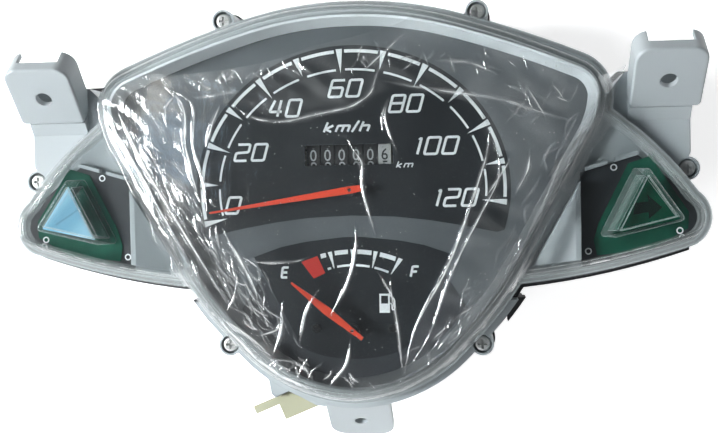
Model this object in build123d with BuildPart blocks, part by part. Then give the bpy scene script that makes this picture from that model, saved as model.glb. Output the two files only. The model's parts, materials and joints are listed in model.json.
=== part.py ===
from build123d import *
from math import atan2, cos, degrees, hypot, pi, radians, sin
import os

# Instrument cluster of a small motorcycle: speedometer with odometer, fuel gauge and two turn-signal lamps.
#
# Frame: millimetres. The origin is the centre of the speedometer cable nipple's end, in the plane that the
# cluster's back rests on. +Z points out of the dial, +Y to the top of the dial and +X to the rider's right.
# The speedometer needle, the cable shaft and the nipple share the Z axis.

os.makedirs("parts", exist_ok=True)

# ---- levels above the back plane ----
floor_z = 24.0          # underside of the wide tray of the rear housing
parting_z = 33.0        # joint between rear housing and front case
deck_z = 48.0           # underside of the deck that carries dial and signal plates
deck_t = 2.0
plate_z = deck_z + deck_t
plate_t = 1.0
dial_z = plate_z + plate_t
flange_z = 52.5         # lens flange sits on the case wall here
flange_t = 2.0
wing_top = 62.3         # outside of the flat wing windows
dome_top = 74.0         # outside of the domed middle window
wall = 2.0

seal_w = 1.0
seal_h = 0.9
skirt_grow = 3.0        # the case flares out by this much below the middle window

# ---- cable connection ----
nipple_r = 6.0
nipple_length = 10.0
nipple_well_r = 15.0
nipple_gap = 1.2        # room for the wall of the cable's union nut

# ---- shape of the domed window ----
dome_r = 560.0
dome_t = 1.8
rim_r = 3.0             # rounding of the dome's rim
wing_rim_r = 1.6
wing_t = 1.4
window_step = 4.0       # width of the lens flange outside its raised windows

# ---- fastenings of the case ----
boss_r = 4.6
boss_rim = 0.9          # the rear housing shows this much round each boss
boss_top = 47.0
screw_r = 1.9
screw_head_r = 3.1
screw_head_h = 2.4
boss_places = [(51.3, 69.7), (131.9, 5.9), (51.5, -62.6)]
housing_grow = 2.0      # the rear housing stands proud of the case all round
collar_grow = 2.8       # and its collar laps the case along the lower edge of each wing
collar_h = 8.0
collar_gap = 0.3
collar_centre = (98.0, -30.0)
collar_window = (72.0, 60.0)

# ---- mounting ears and bottom tab ----
ear_hole_r = 3.25
ear_hole = (122.7, 38.6)
ear_foot = (29.5, 53.5)
ear_tip = (49.6, 72.6)
ear_x = (109.2, 136.2)
panel_x = 133.0         # outer edge of the panels below the ears
ear_t = 2.5
ear_depth = 11.6
ear_hole_up = 12.9      # distance of the hole from the ear's foot, along its face
tab_hole_r = 2.7
tab_tilt = 50.0
tab_width = 27.0
tab_below = 12.0        # the tab's reach from its hole down to its free edge
tab_above = 16.0        # and up to its root in the case wall
tab_centre = (0, -98.4, 31.0)
tab_t = 3.0
tab_normal = Vector(0, -sin(radians(tab_tilt)), cos(radians(tab_tilt)))
tab_plane = Plane(origin=tab_centre, x_dir=(1, 0, 0), z_dir=tab_normal)

# ---- gauges ----
drum_r = 8.0
drum_w = 5.2
drum_pitch = 5.8
drum_y = 14.2
drum_z = 41.4
drum_first_x = -15.4
drum_count = 6
fuel_y = -56.0
needle_z = 57.2
running = 0.06          # radial clearance of a running shaft

# ---- gear train from the cable to the odometer ----
worm_r = 3.0
cross_worm_r = 2.5
riser_worm_r = 1.8
cross_gear_teeth = 13
riser_gear_teeth = 14
drive_gear_teeth = 14
cross_gear_r = 5.5
riser_gear_r = 7.0
drive_gear_r = 5.0
tooth_gap = 0.12
cross_x = worm_r + cross_gear_r + tooth_gap
cross_z = 16.0
riser_x = cross_x + cross_worm_r + riser_gear_r + tooth_gap
riser_y = drum_y + drive_gear_r + riser_worm_r + tooth_gap

# ---- movement ----
body_plate_z = 19.0
body_plate_t = 2.0
magnet_z = 22.0
frame_z = 31.0
bridge_z = 45.5
cheek_t = 1.5
cheek_x = (-20.0, 20.6)
input_r = 2.5
cross_r = 1.2
cross_lugs = (-5.0, 25.0)
spindle_r = 0.7
spring_z = 34.2
frame_screw_r = 1.2
frame_posts = [(-18, -17), (18, -17), (-18, 22), (4, 26.4)]
drum_shaft_r = 1.0
pinion_shaft_r = 0.7
pinion_r = 1.8
pinion_teeth = 8
pinion_y = drum_y + drum_r + pinion_r + tooth_gap
fuel_body_z = 32.0
gauge_screw_place = (15.5, fuel_y)
gauge_screw_r = 0.9

# ---- film, bezel and connector ----
film_gap = 0.3
film_t = 0.4
bezel_h = 8.0
filter_t = 0.5
bulb_base_r = 3.0
connector_at = (-28.3, -89.7, floor_z - 5.5)
connector_turn = 23.0
shelf_centre = (-31.8, -81.4)
apron_t = 3.0
apron = [
    (-46, -66), (-41.6, -74.1), (-38.6, -80), (-37.6, -86), (-35.9, -87.4), (-30, -84.6), (-18.4, -90.6),
    (-12, -91.5), (-10, -80),
]

# ---- turn-signal lamps ----
signal_corners = [(115.0, 7.6), (129.4, -13.9), (100.4, -21.0)]
signal_foot = [(111.5, 7.6), (129.4, -13.9), (96.9, -21.0)]
signal_top = 60.6
signal_wall = 2.2
signal_web = 1.8
signal_recess = 1.0
lamp_centre = (115.0, -9.3)
dial_lamps = [(58, 20), (-58, 20), (40, -44), (-40, -44)]
socket_flange_r = 9.0
socket_neck_r = 7.0


def save(part, name):
    """Labels a finished piece and writes it to its own file."""
    part.label = name
    export_step(part, f"parts/{name}.step")


def central_outline(grow=0.0):
    """Rounded triangle of the middle window, symmetric about X = 0."""
    with BuildSketch() as outline:
        with BuildLine():
            ThreePointArc((0, 75.2), (20.5, 73.9), (40, 70.0))
            ThreePointArc((40, 70.0), (66.5, 61.6), (92, 51.6))
            ThreePointArc((92, 51.6), (100.3, 45.0), (103.5, 35.5))
            ThreePointArc((103.5, 35.5), (101.8, 25.5), (97.5, 16.0))
            Line((97.5, 16.0), (69.5, -34.0))
            ThreePointArc((69.5, -34.0), (59.3, -49.0), (46.6, -63.2))
            ThreePointArc((46.6, -63.2), (25.8, -79.4), (0, -85.8))
            mirror(about=Plane.YZ)
        make_face()
        if grow:
            offset(amount=grow)
    return outline.sketch


def wing_outline(grow=0.0, side=1):
    """Swept wing on one side; its inner end lies under the middle window."""
    with BuildSketch() as outline:
        with BuildLine():
            ThreePointArc((97.0, 33.5), (120.5, 14.3), (135.0, -3.0))
            ThreePointArc((135.0, -3.0), (140.0, -14.0), (133.8, -23.7))
            ThreePointArc((133.8, -23.7), (101.0, -32.8), (66.0, -38.4))
            Polyline((66.0, -38.4), (50, 0), (97.0, 33.5))
        make_face()
        if side < 0:
            mirror(about=Plane.YZ, mode=Mode.REPLACE)
        if grow:
            offset(amount=grow)
    return outline.sketch


def body_outline(grow=0.0):
    """Middle window and both wings together."""
    with BuildSketch() as outline:
        add(central_outline())
        add(wing_outline())
        add(wing_outline(side=-1))
        if grow:
            offset(amount=grow)
    return outline.sketch


def case_outline(grow=0.0, bosses=True):
    """Footprint of the front case: the body, the skirt below, the panels under the ears and the bosses."""
    with BuildSketch() as outline:
        add(body_outline(grow))
        with BuildSketch(mode=Mode.PRIVATE) as skirt:
            add(central_outline(skirt_grow + grow))
            with Locations((0, 25)):
                Rectangle(260, 140, mode=Mode.SUBTRACT)
        add(skirt.sketch)
        with BuildSketch(mode=Mode.PRIVATE) as panel:
            with BuildLine():
                Polyline(
                    (90, 10), (104.5, 40), (108.5, 44), (panel_x, 44), (panel_x, 12), (128, 2),
                    (110, -5), close=True,
                )
            make_face()
            offset(amount=grow)
            mirror(about=Plane.YZ)
        add(panel.sketch)
        if bosses:
            for x, y in boss_places:
                with Locations(*pair(x, y)):
                    Circle(boss_r + min(grow, boss_rim))
    return outline.sketch


def pod_outline(grow=0.0):
    """Footprint of the deep pod behind the two gauges."""
    with BuildSketch() as outline:
        with Locations((0, 3)):
            Circle(36 + grow)
        with Locations((0, -52)):
            Circle(24 + grow)
        make_hull()
    return outline.sketch


def pair(x, y):
    """A place and its mirror image across X = 0."""
    return [(x, y), (-x, y)]


def triangle(grow=0.0, side=1, corners=signal_corners):
    """Outline of a turn-signal triangle, with rounded corners."""
    with BuildSketch() as outline:
        with BuildLine():
            Polyline(*corners, close=True)
        make_face()
        fillet(outline.vertices(), radius=1.5)
        if side < 0:
            mirror(about=Plane.YZ, mode=Mode.REPLACE)
        if grow:
            offset(amount=grow)
    return outline.sketch


def ring(outer, inner):
    """Outline of one closed shape less a smaller one."""
    with BuildSketch() as outline:
        add(outer)
        add(inner, mode=Mode.SUBTRACT)
    return outline.sketch


# ======================= casing =======================

with BuildPart() as rear_housing:
    # wide tray, open to the front
    with BuildSketch(Plane.XY.offset(floor_z)):
        add(case_outline(housing_grow))
    extrude(amount=parting_z - floor_z)
    with BuildSketch(Plane.XY.offset(floor_z + wall)):
        add(case_outline(-wall, bosses=False))
    extrude(amount=parting_z, mode=Mode.SUBTRACT)
    # deep pod for the movement and the fuel gauge
    with BuildSketch(Plane.XY):
        add(pod_outline())
    extrude(amount=floor_z)
    with BuildSketch(Plane.XY.offset(wall + 0.5)):
        add(pod_outline(-wall - 0.5))
    extrude(amount=floor_z + wall, mode=Mode.SUBTRACT)
    # well round the cable nipple
    with BuildSketch(Plane.XY):
        Circle(nipple_well_r + wall)
    extrude(amount=nipple_length)
    with BuildSketch(Plane.XY):
        Circle(nipple_well_r)
    extrude(amount=nipple_length - wall, mode=Mode.SUBTRACT)
    with BuildSketch(Plane.XY):
        Circle(nipple_r + nipple_gap)
    extrude(amount=nipple_length, mode=Mode.SUBTRACT)
    # screw bosses with pilot holes
    for x, y in boss_places:
        with BuildSketch(Plane.XY.offset(floor_z)):
            with Locations(*pair(x, y)):
                Circle(boss_r + boss_rim)
        extrude(amount=parting_z - floor_z)
        with BuildSketch(Plane.XY.offset(floor_z + wall)):
            with Locations(*pair(x, y)):
                Circle(screw_r)
        extrude(amount=parting_z, mode=Mode.SUBTRACT)
    # collar outside the case along the lower edge of each wing
    with BuildSketch(Plane.XY.offset(parting_z - wall)):
        add(ring(case_outline(collar_grow), case_outline(collar_gap)))
        with Locations(*pair(*collar_centre)):
            Rectangle(*collar_window, mode=Mode.INTERSECT)
    extrude(amount=wall + collar_h)
    # holes for the bulb sockets
    with BuildSketch(Plane.XY.offset(floor_z)):
        with Locations(*dial_lamps, *pair(*lamp_centre)):
            Circle(socket_neck_r)
    extrude(amount=wall, mode=Mode.SUBTRACT)
    # shelf that holds the connector by its inner edge
    with BuildSketch(Plane.XY.offset(floor_z)):
        with Locations(Location(shelf_centre, connector_turn)):
            Rectangle(16, 10)
    extrude(amount=3)
    # groove for the seal
    with BuildSketch(Plane.XY.offset(parting_z - seal_h)):
        add(ring(body_outline(-0.5), body_outline(-0.5 - seal_w)))
    extrude(amount=seal_h, mode=Mode.SUBTRACT)
save(rear_housing.part, "rear_housing")

with BuildPart() as housing_seal:
    with BuildSketch(Plane.XY.offset(parting_z - seal_h)):
        add(ring(body_outline(-0.5), body_outline(-0.5 - seal_w)))
    extrude(amount=seal_h)
save(housing_seal.part, "housing_seal")


ear_angle = degrees(atan2(ear_tip[1] - ear_foot[1], ear_tip[0] - ear_foot[0]))
ear_length = hypot(ear_tip[0] - ear_foot[0], ear_tip[1] - ear_foot[1])


def ear_plane(side, depth=0.0):
    """Plane of an ear's front face, or one behind it; local Y runs up the face from its foot."""
    normal = Vector(0, -sin(radians(ear_angle)), cos(radians(ear_angle)))
    foot = Vector(side * (ear_x[0] + ear_x[1]) / 2, ear_foot[0], ear_foot[1])
    return Plane(origin=foot - normal * depth, x_dir=(1, 0, 0), z_dir=normal)


def ear_face(inset=0.0):
    """Front face of an ear: a rectangle with rounded upper corners."""
    width = ear_x[1] - ear_x[0]
    with BuildSketch() as outline:
        with Locations((0, ear_length / 2)):
            Rectangle(width, ear_length)
        fillet(outline.vertices().group_by(Axis.Y)[-1], radius=6)
        fillet(outline.vertices().group_by(Axis.Y)[0], radius=2)
        if inset:
            offset(amount=-inset)
    return outline.sketch


def ear_shell(side):
    """Hollow ear open to the back, with prongs beside its shortened top wall."""
    middle = (ear_x[0] + ear_x[1]) / 2
    with BuildPart() as shell:
        with BuildSketch(ear_plane(side)):
            add(ear_face())
        extrude(amount=-ear_depth)
        front = Axis(ear_plane(side).origin, ear_plane(side).z_dir)
        fillet(shell.faces().sort_by(front)[-1].edges(), radius=1.0)
        with BuildSketch(ear_plane(side, ear_t)):
            add(ear_face(wall))
        extrude(amount=-ear_depth, mode=Mode.SUBTRACT)
        with BuildSketch(ear_plane(side, 5.0)):
            with Locations((0, ear_length)):
                Rectangle(ear_x[1] - ear_x[0] - 10, 2 * wall + 1)
        extrude(amount=-ear_depth, mode=Mode.SUBTRACT)
        with BuildSketch(ear_plane(side)):
            with Locations((side * (ear_hole[0] - middle), ear_hole_up)):
                Circle(ear_hole_r)
        extrude(amount=-2 * ear_depth, mode=Mode.SUBTRACT)
    return shell.part


def sloped_panel(side):
    """Panel that rises from the middle window to the divider in front of the signal plate."""
    with BuildPart() as panel:
        with BuildSketch(Plane.XZ.offset(45)):
            with BuildLine():
                Polyline((66, plate_z), (88, 57.5), (90, 57.5), (90, plate_z), close=True)
            make_face()
        extrude(amount=-55)
        with BuildSketch(Plane.XY.offset(plate_z)):
            add(wing_outline(-6.2))
            add(central_outline(0.5), mode=Mode.SUBTRACT)
        extrude(amount=12, mode=Mode.INTERSECT)
        if side < 0:
            mirror(about=Plane.YZ, mode=Mode.REPLACE)
    return panel.part


with BuildPart() as front_case:
    # outer walls and deck
    with BuildSketch(Plane.XY.offset(parting_z)):
        add(case_outline())
    extrude(amount=plate_z - parting_z)
    with BuildSketch(Plane.XY.offset(plate_z)):
        add(body_outline())
    extrude(amount=flange_z - plate_z)
    with BuildSketch(Plane.XY.offset(parting_z)):
        add(case_outline(-wall, bosses=False))
    extrude(amount=deck_z - parting_z, mode=Mode.SUBTRACT)
    with BuildSketch(Plane.XY.offset(plate_z)):
        add(body_outline(-wall))
    extrude(amount=flange_z, mode=Mode.SUBTRACT)
    # screw bosses, cut back to the level of the screw heads
    for x, y in boss_places:
        with BuildSketch(Plane.XY.offset(parting_z)):
            with Locations(*pair(x, y)):
                Circle(boss_r)
        extrude(amount=boss_top - parting_z)
        with BuildSketch(Plane.XY.offset(boss_top)):
            with Locations(*pair(x, y)):
                Circle(screw_head_r + 0.6)
        extrude(amount=20, mode=Mode.SUBTRACT)
        with BuildSketch(Plane.XY.offset(parting_z)):
            with Locations(*pair(x, y)):
                Circle(screw_r + 0.2)
        extrude(amount=20, mode=Mode.SUBTRACT)
    # openings in the deck
    with BuildSketch(Plane.XY.offset(deck_z)):
        with Locations((0, 5)):
            Rectangle(48, 44)
        with Locations((0, fuel_y)):
            Circle(3)
        with Locations(*dial_lamps):
            Circle(6)
        with Locations(*pair(*gauge_screw_place)):
            Circle(gauge_screw_r)
        add(triangle(-0.5))
        add(triangle(-0.5, side=-1))
    extrude(amount=deck_t, mode=Mode.SUBTRACT)
    add(sloped_panel(1))
    add(sloped_panel(-1))
    # notched ridge above each signal plate
    for side in (1, -1):
        with BuildSketch(Plane.XY.offset(plate_z)):
            with BuildLine():
                Polyline((92.0, 7.2), (112.5, 13.0), (112.8, 11.6), (92.4, 5.7), close=True)
            make_face()
            with Locations((102.3, 9.4)):
                Rectangle(3, 5, mode=Mode.SUBTRACT)
            if side < 0:
                mirror(about=Plane.YZ, mode=Mode.REPLACE)
        extrude(amount=3.5)
    # mounting ears, each with a ramp from the panel up to its face
    for side in (1, -1):
        add(ear_shell(side))
        with BuildSketch(Plane.YZ.offset(side * (ear_x[0] + panel_x) / 2)):
            with BuildLine():
                Polyline((25, plate_z), (ear_foot[0], ear_foot[1]), (34, plate_z), close=True)
            make_face()
        extrude(amount=(panel_x - ear_x[0]) / 2, both=True)
    # bottom tab, rooted in the case wall
    with BuildSketch(tab_plane) as tab_face:
        with Locations((0, (tab_above - tab_below) / 2)):
            Rectangle(tab_width, tab_above + tab_below)
        fillet(tab_face.vertices().group_by(Axis.Y)[0], radius=7)
        Circle(tab_hole_r, mode=Mode.SUBTRACT)
    extrude(amount=-tab_t)
    # apron over the connector
    with BuildSketch(Plane.XY.offset(parting_z)):
        with BuildLine():
            Polyline(*apron, close=True)
        make_face()
        add(case_outline(-1, bosses=False), mode=Mode.SUBTRACT)
    extrude(amount=apron_t)
    # groove for the lens seal
    with BuildSketch(Plane.XY.offset(flange_z - seal_h)):
        add(ring(body_outline(-0.5), body_outline(-0.5 - seal_w)))
    extrude(amount=seal_h, mode=Mode.SUBTRACT)
save(front_case.part, "front_case")


def dome(grow=0.0, inset=0.0, rounding=0.0):
    """Solid under the domed window's outer surface, grown outwards or set inwards."""
    with BuildPart() as solid:
        with BuildSketch(Plane.XY.offset(flange_z)):
            add(central_outline(-inset))
        extrude(amount=30)
        with Locations((0, 0, dome_top - dome_r)):
            Sphere(dome_r + grow, mode=Mode.INTERSECT)
        if rounding:
            fillet(solid.faces().filter_by(GeomType.SPHERE).edges(), radius=rounding)
    return solid.part


def wing_block(side, inset, top, rounding):
    """Flat-topped block under one wing window."""
    with BuildPart() as solid:
        with BuildSketch(Plane.XY.offset(flange_z)):
            add(wing_outline(-inset, side))
        extrude(amount=top - flange_z)
        fillet(solid.edges().group_by(Axis.Z)[-1], radius=rounding)
    return solid.part


with BuildPart() as lens_seal:
    with BuildSketch(Plane.XY.offset(flange_z - seal_h)):
        add(ring(body_outline(-0.5), body_outline(-0.5 - seal_w)))
    extrude(amount=seal_h)
save(lens_seal.part, "lens_seal")

with BuildPart() as clear_lens:
    # flange, wing windows with their side walls, and the dome between them
    with BuildSketch(Plane.XY.offset(flange_z)):
        add(body_outline())
    extrude(amount=flange_t)
    for side in (1, -1):
        add(wing_block(side, window_step, wing_top, wing_rim_r))
    add(dome(inset=window_step, rounding=rim_r))
    # hollow inside, leaving an even skin
    for side in (1, -1):
        add(wing_block(side, window_step + wing_t, wing_top - wing_t, 0.6), mode=Mode.SUBTRACT)
    add(dome(grow=-dome_t, inset=window_step + dome_t, rounding=rim_r - 1.2), mode=Mode.SUBTRACT)
save(clear_lens.part, "clear_lens")

with BuildPart() as protective_film:
    add(dome(grow=film_gap + film_t, inset=window_step + rim_r))
    add(dome(grow=film_gap, inset=window_step + 1), mode=Mode.SUBTRACT)
    # the film leaves the window's upper left edge bare
    with BuildSketch(Plane.XY.offset(flange_z)):
        with BuildLine():
            Polyline(
                (-110, 38), (-80, 47.4), (-53.8, 47.3), (-33.7, 50), (-14, 54.4), (30, 64), (40, 90),
                (-110, 90), close=True,
            )
        make_face()
    extrude(amount=40, mode=Mode.SUBTRACT)
save(protective_film.part, "protective_film")

with BuildPart() as inner_bezel:
    with BuildSketch(Plane.XY.offset(dial_z)):
        add(central_outline(-6.2))
    extrude(amount=bezel_h)
    with BuildSketch(Plane.XY.offset(dial_z)):
        add(central_outline(-9.6))
    with BuildSketch(Plane.XY.offset(dial_z + bezel_h)):
        add(central_outline(-7.2))
    loft(mode=Mode.SUBTRACT)
save(inner_bezel.part, "inner_bezel")

# ======================= dial and signal plates =======================

with BuildPart() as dial_plate:
    with BuildSketch(Plane.XY.offset(plate_z)):
        add(central_outline(-8.5))
        with Locations((0, 0), (0, fuel_y)):
            Circle(2, mode=Mode.SUBTRACT)
        with Locations((-0.8, drum_y)):
            RectangleRounded(35.8, 8.2, 0.6, mode=Mode.SUBTRACT)
        with Locations(*pair(*gauge_screw_place)):
            Circle(gauge_screw_r, mode=Mode.SUBTRACT)
    extrude(amount=plate_t)
save(dial_plate.part, "dial_plate")

for side, hand in ((-1, "left"), (1, "right")):
    with BuildPart() as signal_plate:
        with BuildSketch(Plane.XY.offset(plate_z)):
            with BuildLine():
                Polyline(
                    (90.6, -32), (90.6, 5.0), (92.4, 5.5), (112.8, 11.4), (142, -12), (142, -32),
                    close=True,
                )
            make_face()
            if side < 0:
                mirror(about=Plane.YZ, mode=Mode.REPLACE)
            add(wing_outline(-wall - 0.6, side), mode=Mode.INTERSECT)
            add(triangle(-0.5, side), mode=Mode.SUBTRACT)
        extrude(amount=plate_t)
    save(signal_plate.part, f"{hand}_signal_plate")

    with BuildPart() as signal_filter:
        with BuildSketch(Plane.XY.offset(dial_z)):
            with BuildLine():
                Polyline(
                    (108.9, 8.2), (97.3, -15), (95.4, -21.5), (96.6, -27.6), (118, -25.2),
                    (131.5, -17.4), (131.8, -11.0), (117.5, 11.0), close=True,
                )
            make_face()
            if side < 0:
                mirror(about=Plane.YZ, mode=Mode.REPLACE)
        extrude(amount=filter_t)
    save(signal_filter.part, f"{hand}_signal_filter")

    with BuildPart() as signal_lens:
        # clear triangular cap whose inner wall leans, with a rounded rim and a recessed face
        with BuildSketch(Plane.XY.offset(dial_z + filter_t)):
            add(triangle(side=side, corners=signal_foot))
        with BuildSketch(Plane.XY.offset(signal_top)):
            add(triangle(side=side))
        loft()
        fillet(signal_lens.edges().group_by(Axis.Z)[-1], radius=1.0)
        with BuildSketch(Plane.XY.offset(dial_z + filter_t)):
            add(triangle(-signal_wall, side, signal_foot))
        with BuildSketch(Plane.XY.offset(signal_top)):
            add(triangle(-signal_wall, side))
        loft(mode=Mode.SUBTRACT)
        with BuildSketch(Plane.XY.offset(signal_top - signal_recess - signal_web)):
            add(triangle(-0.4 * signal_wall, side))
        extrude(amount=signal_web)
    save(signal_lens.part, f"{hand}_signal_lens")

    with BuildPart() as light_box:
        with BuildSketch(Plane.XZ) as section:
            with BuildLine():
                Polyline((7.4, 28), (9.2, 28), (17.2, deck_z), (15.8, deck_z), (7.4, 30), close=True)
            make_face()
        revolve(axis=Axis.Z)
    light_box_part = Pos(side * lamp_centre[0], lamp_centre[1], 0) * light_box.part
    save(light_box_part, f"{hand}_light_box")

# ======================= lamps =======================

lamp_places = [*pair(*lamp_centre), *dial_lamps]

with BuildPart() as socket:
    with BuildSketch(Plane.XY.offset(floor_z - 3)):
        Circle(socket_flange_r)
    extrude(amount=3)
    with BuildSketch(Plane.XY.offset(floor_z)):
        Circle(socket_neck_r)
    extrude(amount=5)
    with BuildSketch(Plane.XY.offset(floor_z - 1)):
        Circle(bulb_base_r)
    extrude(amount=10, mode=Mode.SUBTRACT)
    fillet(socket.edges().group_by(Axis.Z)[0], radius=0.6)
save(Compound(children=[Pos(x, y, 0) * socket.part for x, y in lamp_places]), "bulb_sockets")

with BuildPart() as bulb:
    with BuildSketch(Plane.XZ):
        with BuildLine():
            Polyline((0, floor_z - 1), (bulb_base_r, floor_z - 1), (bulb_base_r, 31), (4.2, 33))
            Line((4.2, 33), (4.2, 37))
            RadiusArc((4.2, 37), (0, 41.2), -4.2)
            Line((0, 41.2), (0, floor_z - 1))
        make_face()
    revolve(axis=Axis.Z)
save(Compound(children=[Pos(x, y, 0) * bulb.part for x, y in lamp_places]), "bulbs")

# ======================= speedometer =======================

with BuildPart() as movement_body:
    # threaded nipple, bearing boss and plate; the cable shaft runs through all three
    with BuildSketch(Plane.XY):
        Circle(nipple_r)
    extrude(amount=nipple_length)
    with Locations(*[(0, 0, 1.4 + 1.4 * i) for i in range(5)]):
        Torus(nipple_r, 0.35, mode=Mode.SUBTRACT)
    with BuildSketch(Plane.XY.offset(nipple_length)):
        Circle(12)
    extrude(amount=2)
    with BuildSketch(Plane.XY.offset(body_plate_z)):
        Circle(30)
    extrude(amount=body_plate_t)
    # pillars from the boss up to the plate, and from the plate up to the frame
    with BuildSketch(Plane.XY.offset(nipple_length)):
        with Locations((-9, 0), (0, -9), (0, 9.5)):
            Circle(2)
    extrude(amount=body_plate_z - nipple_length)
    with BuildSketch(Plane.XY.offset(body_plate_z)):
        with Locations(*frame_posts):
            Circle(2.4)
    extrude(amount=frame_z - body_plate_z)
    with BuildSketch(Plane.XY.offset(body_plate_z + body_plate_t + 1)):
        with Locations(*frame_posts):
            Circle(frame_screw_r)
    extrude(amount=30, mode=Mode.SUBTRACT)
    # lugs that carry the cross shaft, and the foot bearing of the riser shaft
    for lug_y in cross_lugs:
        with BuildSketch(Plane.XZ.offset(-lug_y)):
            with Locations((cross_x, cross_z + 1.5)):
                Rectangle(5, 7)
        extrude(amount=-2)
    # bores
    with BuildSketch(Plane.XY):
        Circle(input_r + running)
    extrude(amount=60, mode=Mode.SUBTRACT)
    with BuildSketch(Plane.XZ.offset(10)):
        with Locations((cross_x, cross_z)):
            Circle(cross_r + running)
    extrude(amount=-60, mode=Mode.SUBTRACT)
    with BuildSketch(Plane.XY.offset(body_plate_z)):
        with Locations((riser_x, riser_y)):
            Circle(cross_r + running)
    extrude(amount=20, mode=Mode.SUBTRACT)
    # slot for the wheel of the cross shaft
    with BuildSketch(Plane.XY.offset(nipple_length + 0.2)):
        with Locations((cross_x, 0)):
            Rectangle(2 * cross_gear_r + 1, 3)
    extrude(amount=12, mode=Mode.SUBTRACT)
save(movement_body.part, "movement_body")


def gear(centre, axis, radius, teeth, thickness, bore):
    """Wheel with plain straight teeth, fixed on a shaft."""
    plane = Plane(origin=centre, z_dir=axis)
    pitch = 2 * pi * radius / teeth
    tooth = min(1.0, 0.3 * pitch)
    with BuildPart() as wheel:
        with BuildSketch(plane):
            Circle(radius - tooth)
            with PolarLocations(radius - tooth / 2 - 0.2, teeth):
                Trapezoid(0.5 * pitch, tooth + 0.39, 75, rotation=-90)
            Circle(bore, mode=Mode.SUBTRACT)
        extrude(amount=thickness / 2, both=True)
    return wheel.part


with BuildPart() as input_shaft:
    with BuildSketch(Plane.XY.offset(1.5)):
        Circle(input_r)
        Rectangle(2.7, 2.7, mode=Mode.SUBTRACT)
    extrude(amount=9)
    with BuildSketch(Plane.XY.offset(10.5)):
        Circle(input_r)
    extrude(amount=magnet_z + 4.5 - 10.5)
    with BuildSketch(Plane.XY.offset(cross_z - 2.2)):
        Circle(worm_r)
    extrude(amount=4.6)
    with BuildSketch(Plane.XY.offset(magnet_z + 3.5)):
        Circle(0.6)
    extrude(amount=2, mode=Mode.SUBTRACT)
save(input_shaft.part, "input_shaft")

with BuildPart() as drive_magnet:
    with BuildSketch(Plane.XY.offset(magnet_z)):
        Circle(10.5)
        with PolarLocations(10.5, 4):
            Circle(2.4, mode=Mode.SUBTRACT)
        Circle(input_r, mode=Mode.SUBTRACT)
    extrude(amount=4.5)
save(drive_magnet.part, "drive_magnet")

with BuildPart() as field_ring:
    with BuildSketch(Plane.XY.offset(body_plate_z + body_plate_t)):
        Circle(15.6)
        Circle(14.4, mode=Mode.SUBTRACT)
    extrude(amount=7.5)
save(field_ring.part, "field_ring")

with BuildPart() as speed_cup:
    with BuildSketch(Plane.XY.offset(magnet_z + 0.6)):
        Circle(12.6)
    extrude(amount=6)
    with BuildSketch(Plane.XY.offset(magnet_z + 0.6)):
        Circle(12.0)
    extrude(amount=5.3, mode=Mode.SUBTRACT)
    with BuildSketch(Plane.XY.offset(magnet_z)):
        Circle(spindle_r)
    extrude(amount=20, mode=Mode.SUBTRACT)
save(speed_cup.part, "speed_cup")

with BuildPart() as speed_spindle:
    with BuildSketch(Plane.XY.offset(magnet_z + 4.6)):
        Circle(0.5)
    extrude(amount=1)
    with BuildSketch(Plane.XY.offset(magnet_z + 5.6)):
        Circle(spindle_r)
    extrude(amount=needle_z + 0.4 - magnet_z - 5.6)
    # collet that the hairspring's inner end holds on to
    with BuildSketch(Plane.XY.offset(spring_z - 0.6)):
        Circle(1.6)
        Circle(spindle_r, mode=Mode.SUBTRACT)
    extrude(amount=2)
save(speed_spindle.part, "speed_spindle")

with BuildPart() as hairspring:
    turns = 4
    steps = 12 * turns
    coil = [
        (2.0 + 3.4 * k / steps, 360 * turns * k / steps)
        for k in range(steps + 1)
    ]
    with BuildSketch(Plane.XY.offset(spring_z)):
        with BuildLine():
            Spline(*[(r * cos(radians(a)), r * sin(radians(a))) for r, a in coil])
        trace(line_width=0.25)
    extrude(amount=0.8)
save(hairspring.part, "hairspring")


def bent_frame():
    """Sheet bracket: base plate, two cheeks that carry the odometer, spindle bridge and top tabs."""
    with BuildPart() as frame:
        with BuildSketch(Plane.XY.offset(frame_z)):
            with Locations((0.25, 4)):
                Rectangle(cheek_x[1] - cheek_x[0] + 2 * cheek_t, 50)
            with Locations((0, 0)):
                Circle(1.7, mode=Mode.SUBTRACT)
            with Locations((riser_x, riser_y)):
                Circle(cross_r + 0.3, mode=Mode.SUBTRACT)
            with Locations(*frame_posts):
                Circle(frame_screw_r, mode=Mode.SUBTRACT)
        extrude(amount=1.5)
        for inner_x, out in ((cheek_x[0], -1), (cheek_x[1], 1)):
            with BuildSketch(Plane.YZ.offset(inner_x)):
                with BuildLine():
                    Polyline(
                        (-8, frame_z), (-8, deck_z), (4, deck_z), (20, 46), (28, 44), (28, frame_z),
                        close=True,
                    )
                make_face()
                with Locations((drum_y, drum_z)):
                    Circle(drum_shaft_r, mode=Mode.SUBTRACT)
                with Locations((pinion_y, drum_z)):
                    Circle(pinion_shaft_r, mode=Mode.SUBTRACT)
            extrude(amount=out * cheek_t)
            # top tab, screwed up against the deck
            with BuildSketch(Plane.XY.offset(deck_z - cheek_t)):
                with Locations((inner_x + out * 5, -2)):
                    Rectangle(10, 12)
                with Locations((inner_x + out * 7, -2)):
                    Circle(frame_screw_r, mode=Mode.SUBTRACT)
            extrude(amount=cheek_t)
        # bridge with the upper bearing of the needle spindle
        with BuildSketch(Plane.XY.offset(bridge_z)):
            with Locations((0.25, -2.25)):
                Rectangle(cheek_x[1] - cheek_x[0], 11.5)
            Circle(spindle_r + running, mode=Mode.SUBTRACT)
        extrude(amount=cheek_t)
    return frame.part


movement_frame = bent_frame()
save(movement_frame, "movement_frame")


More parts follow.
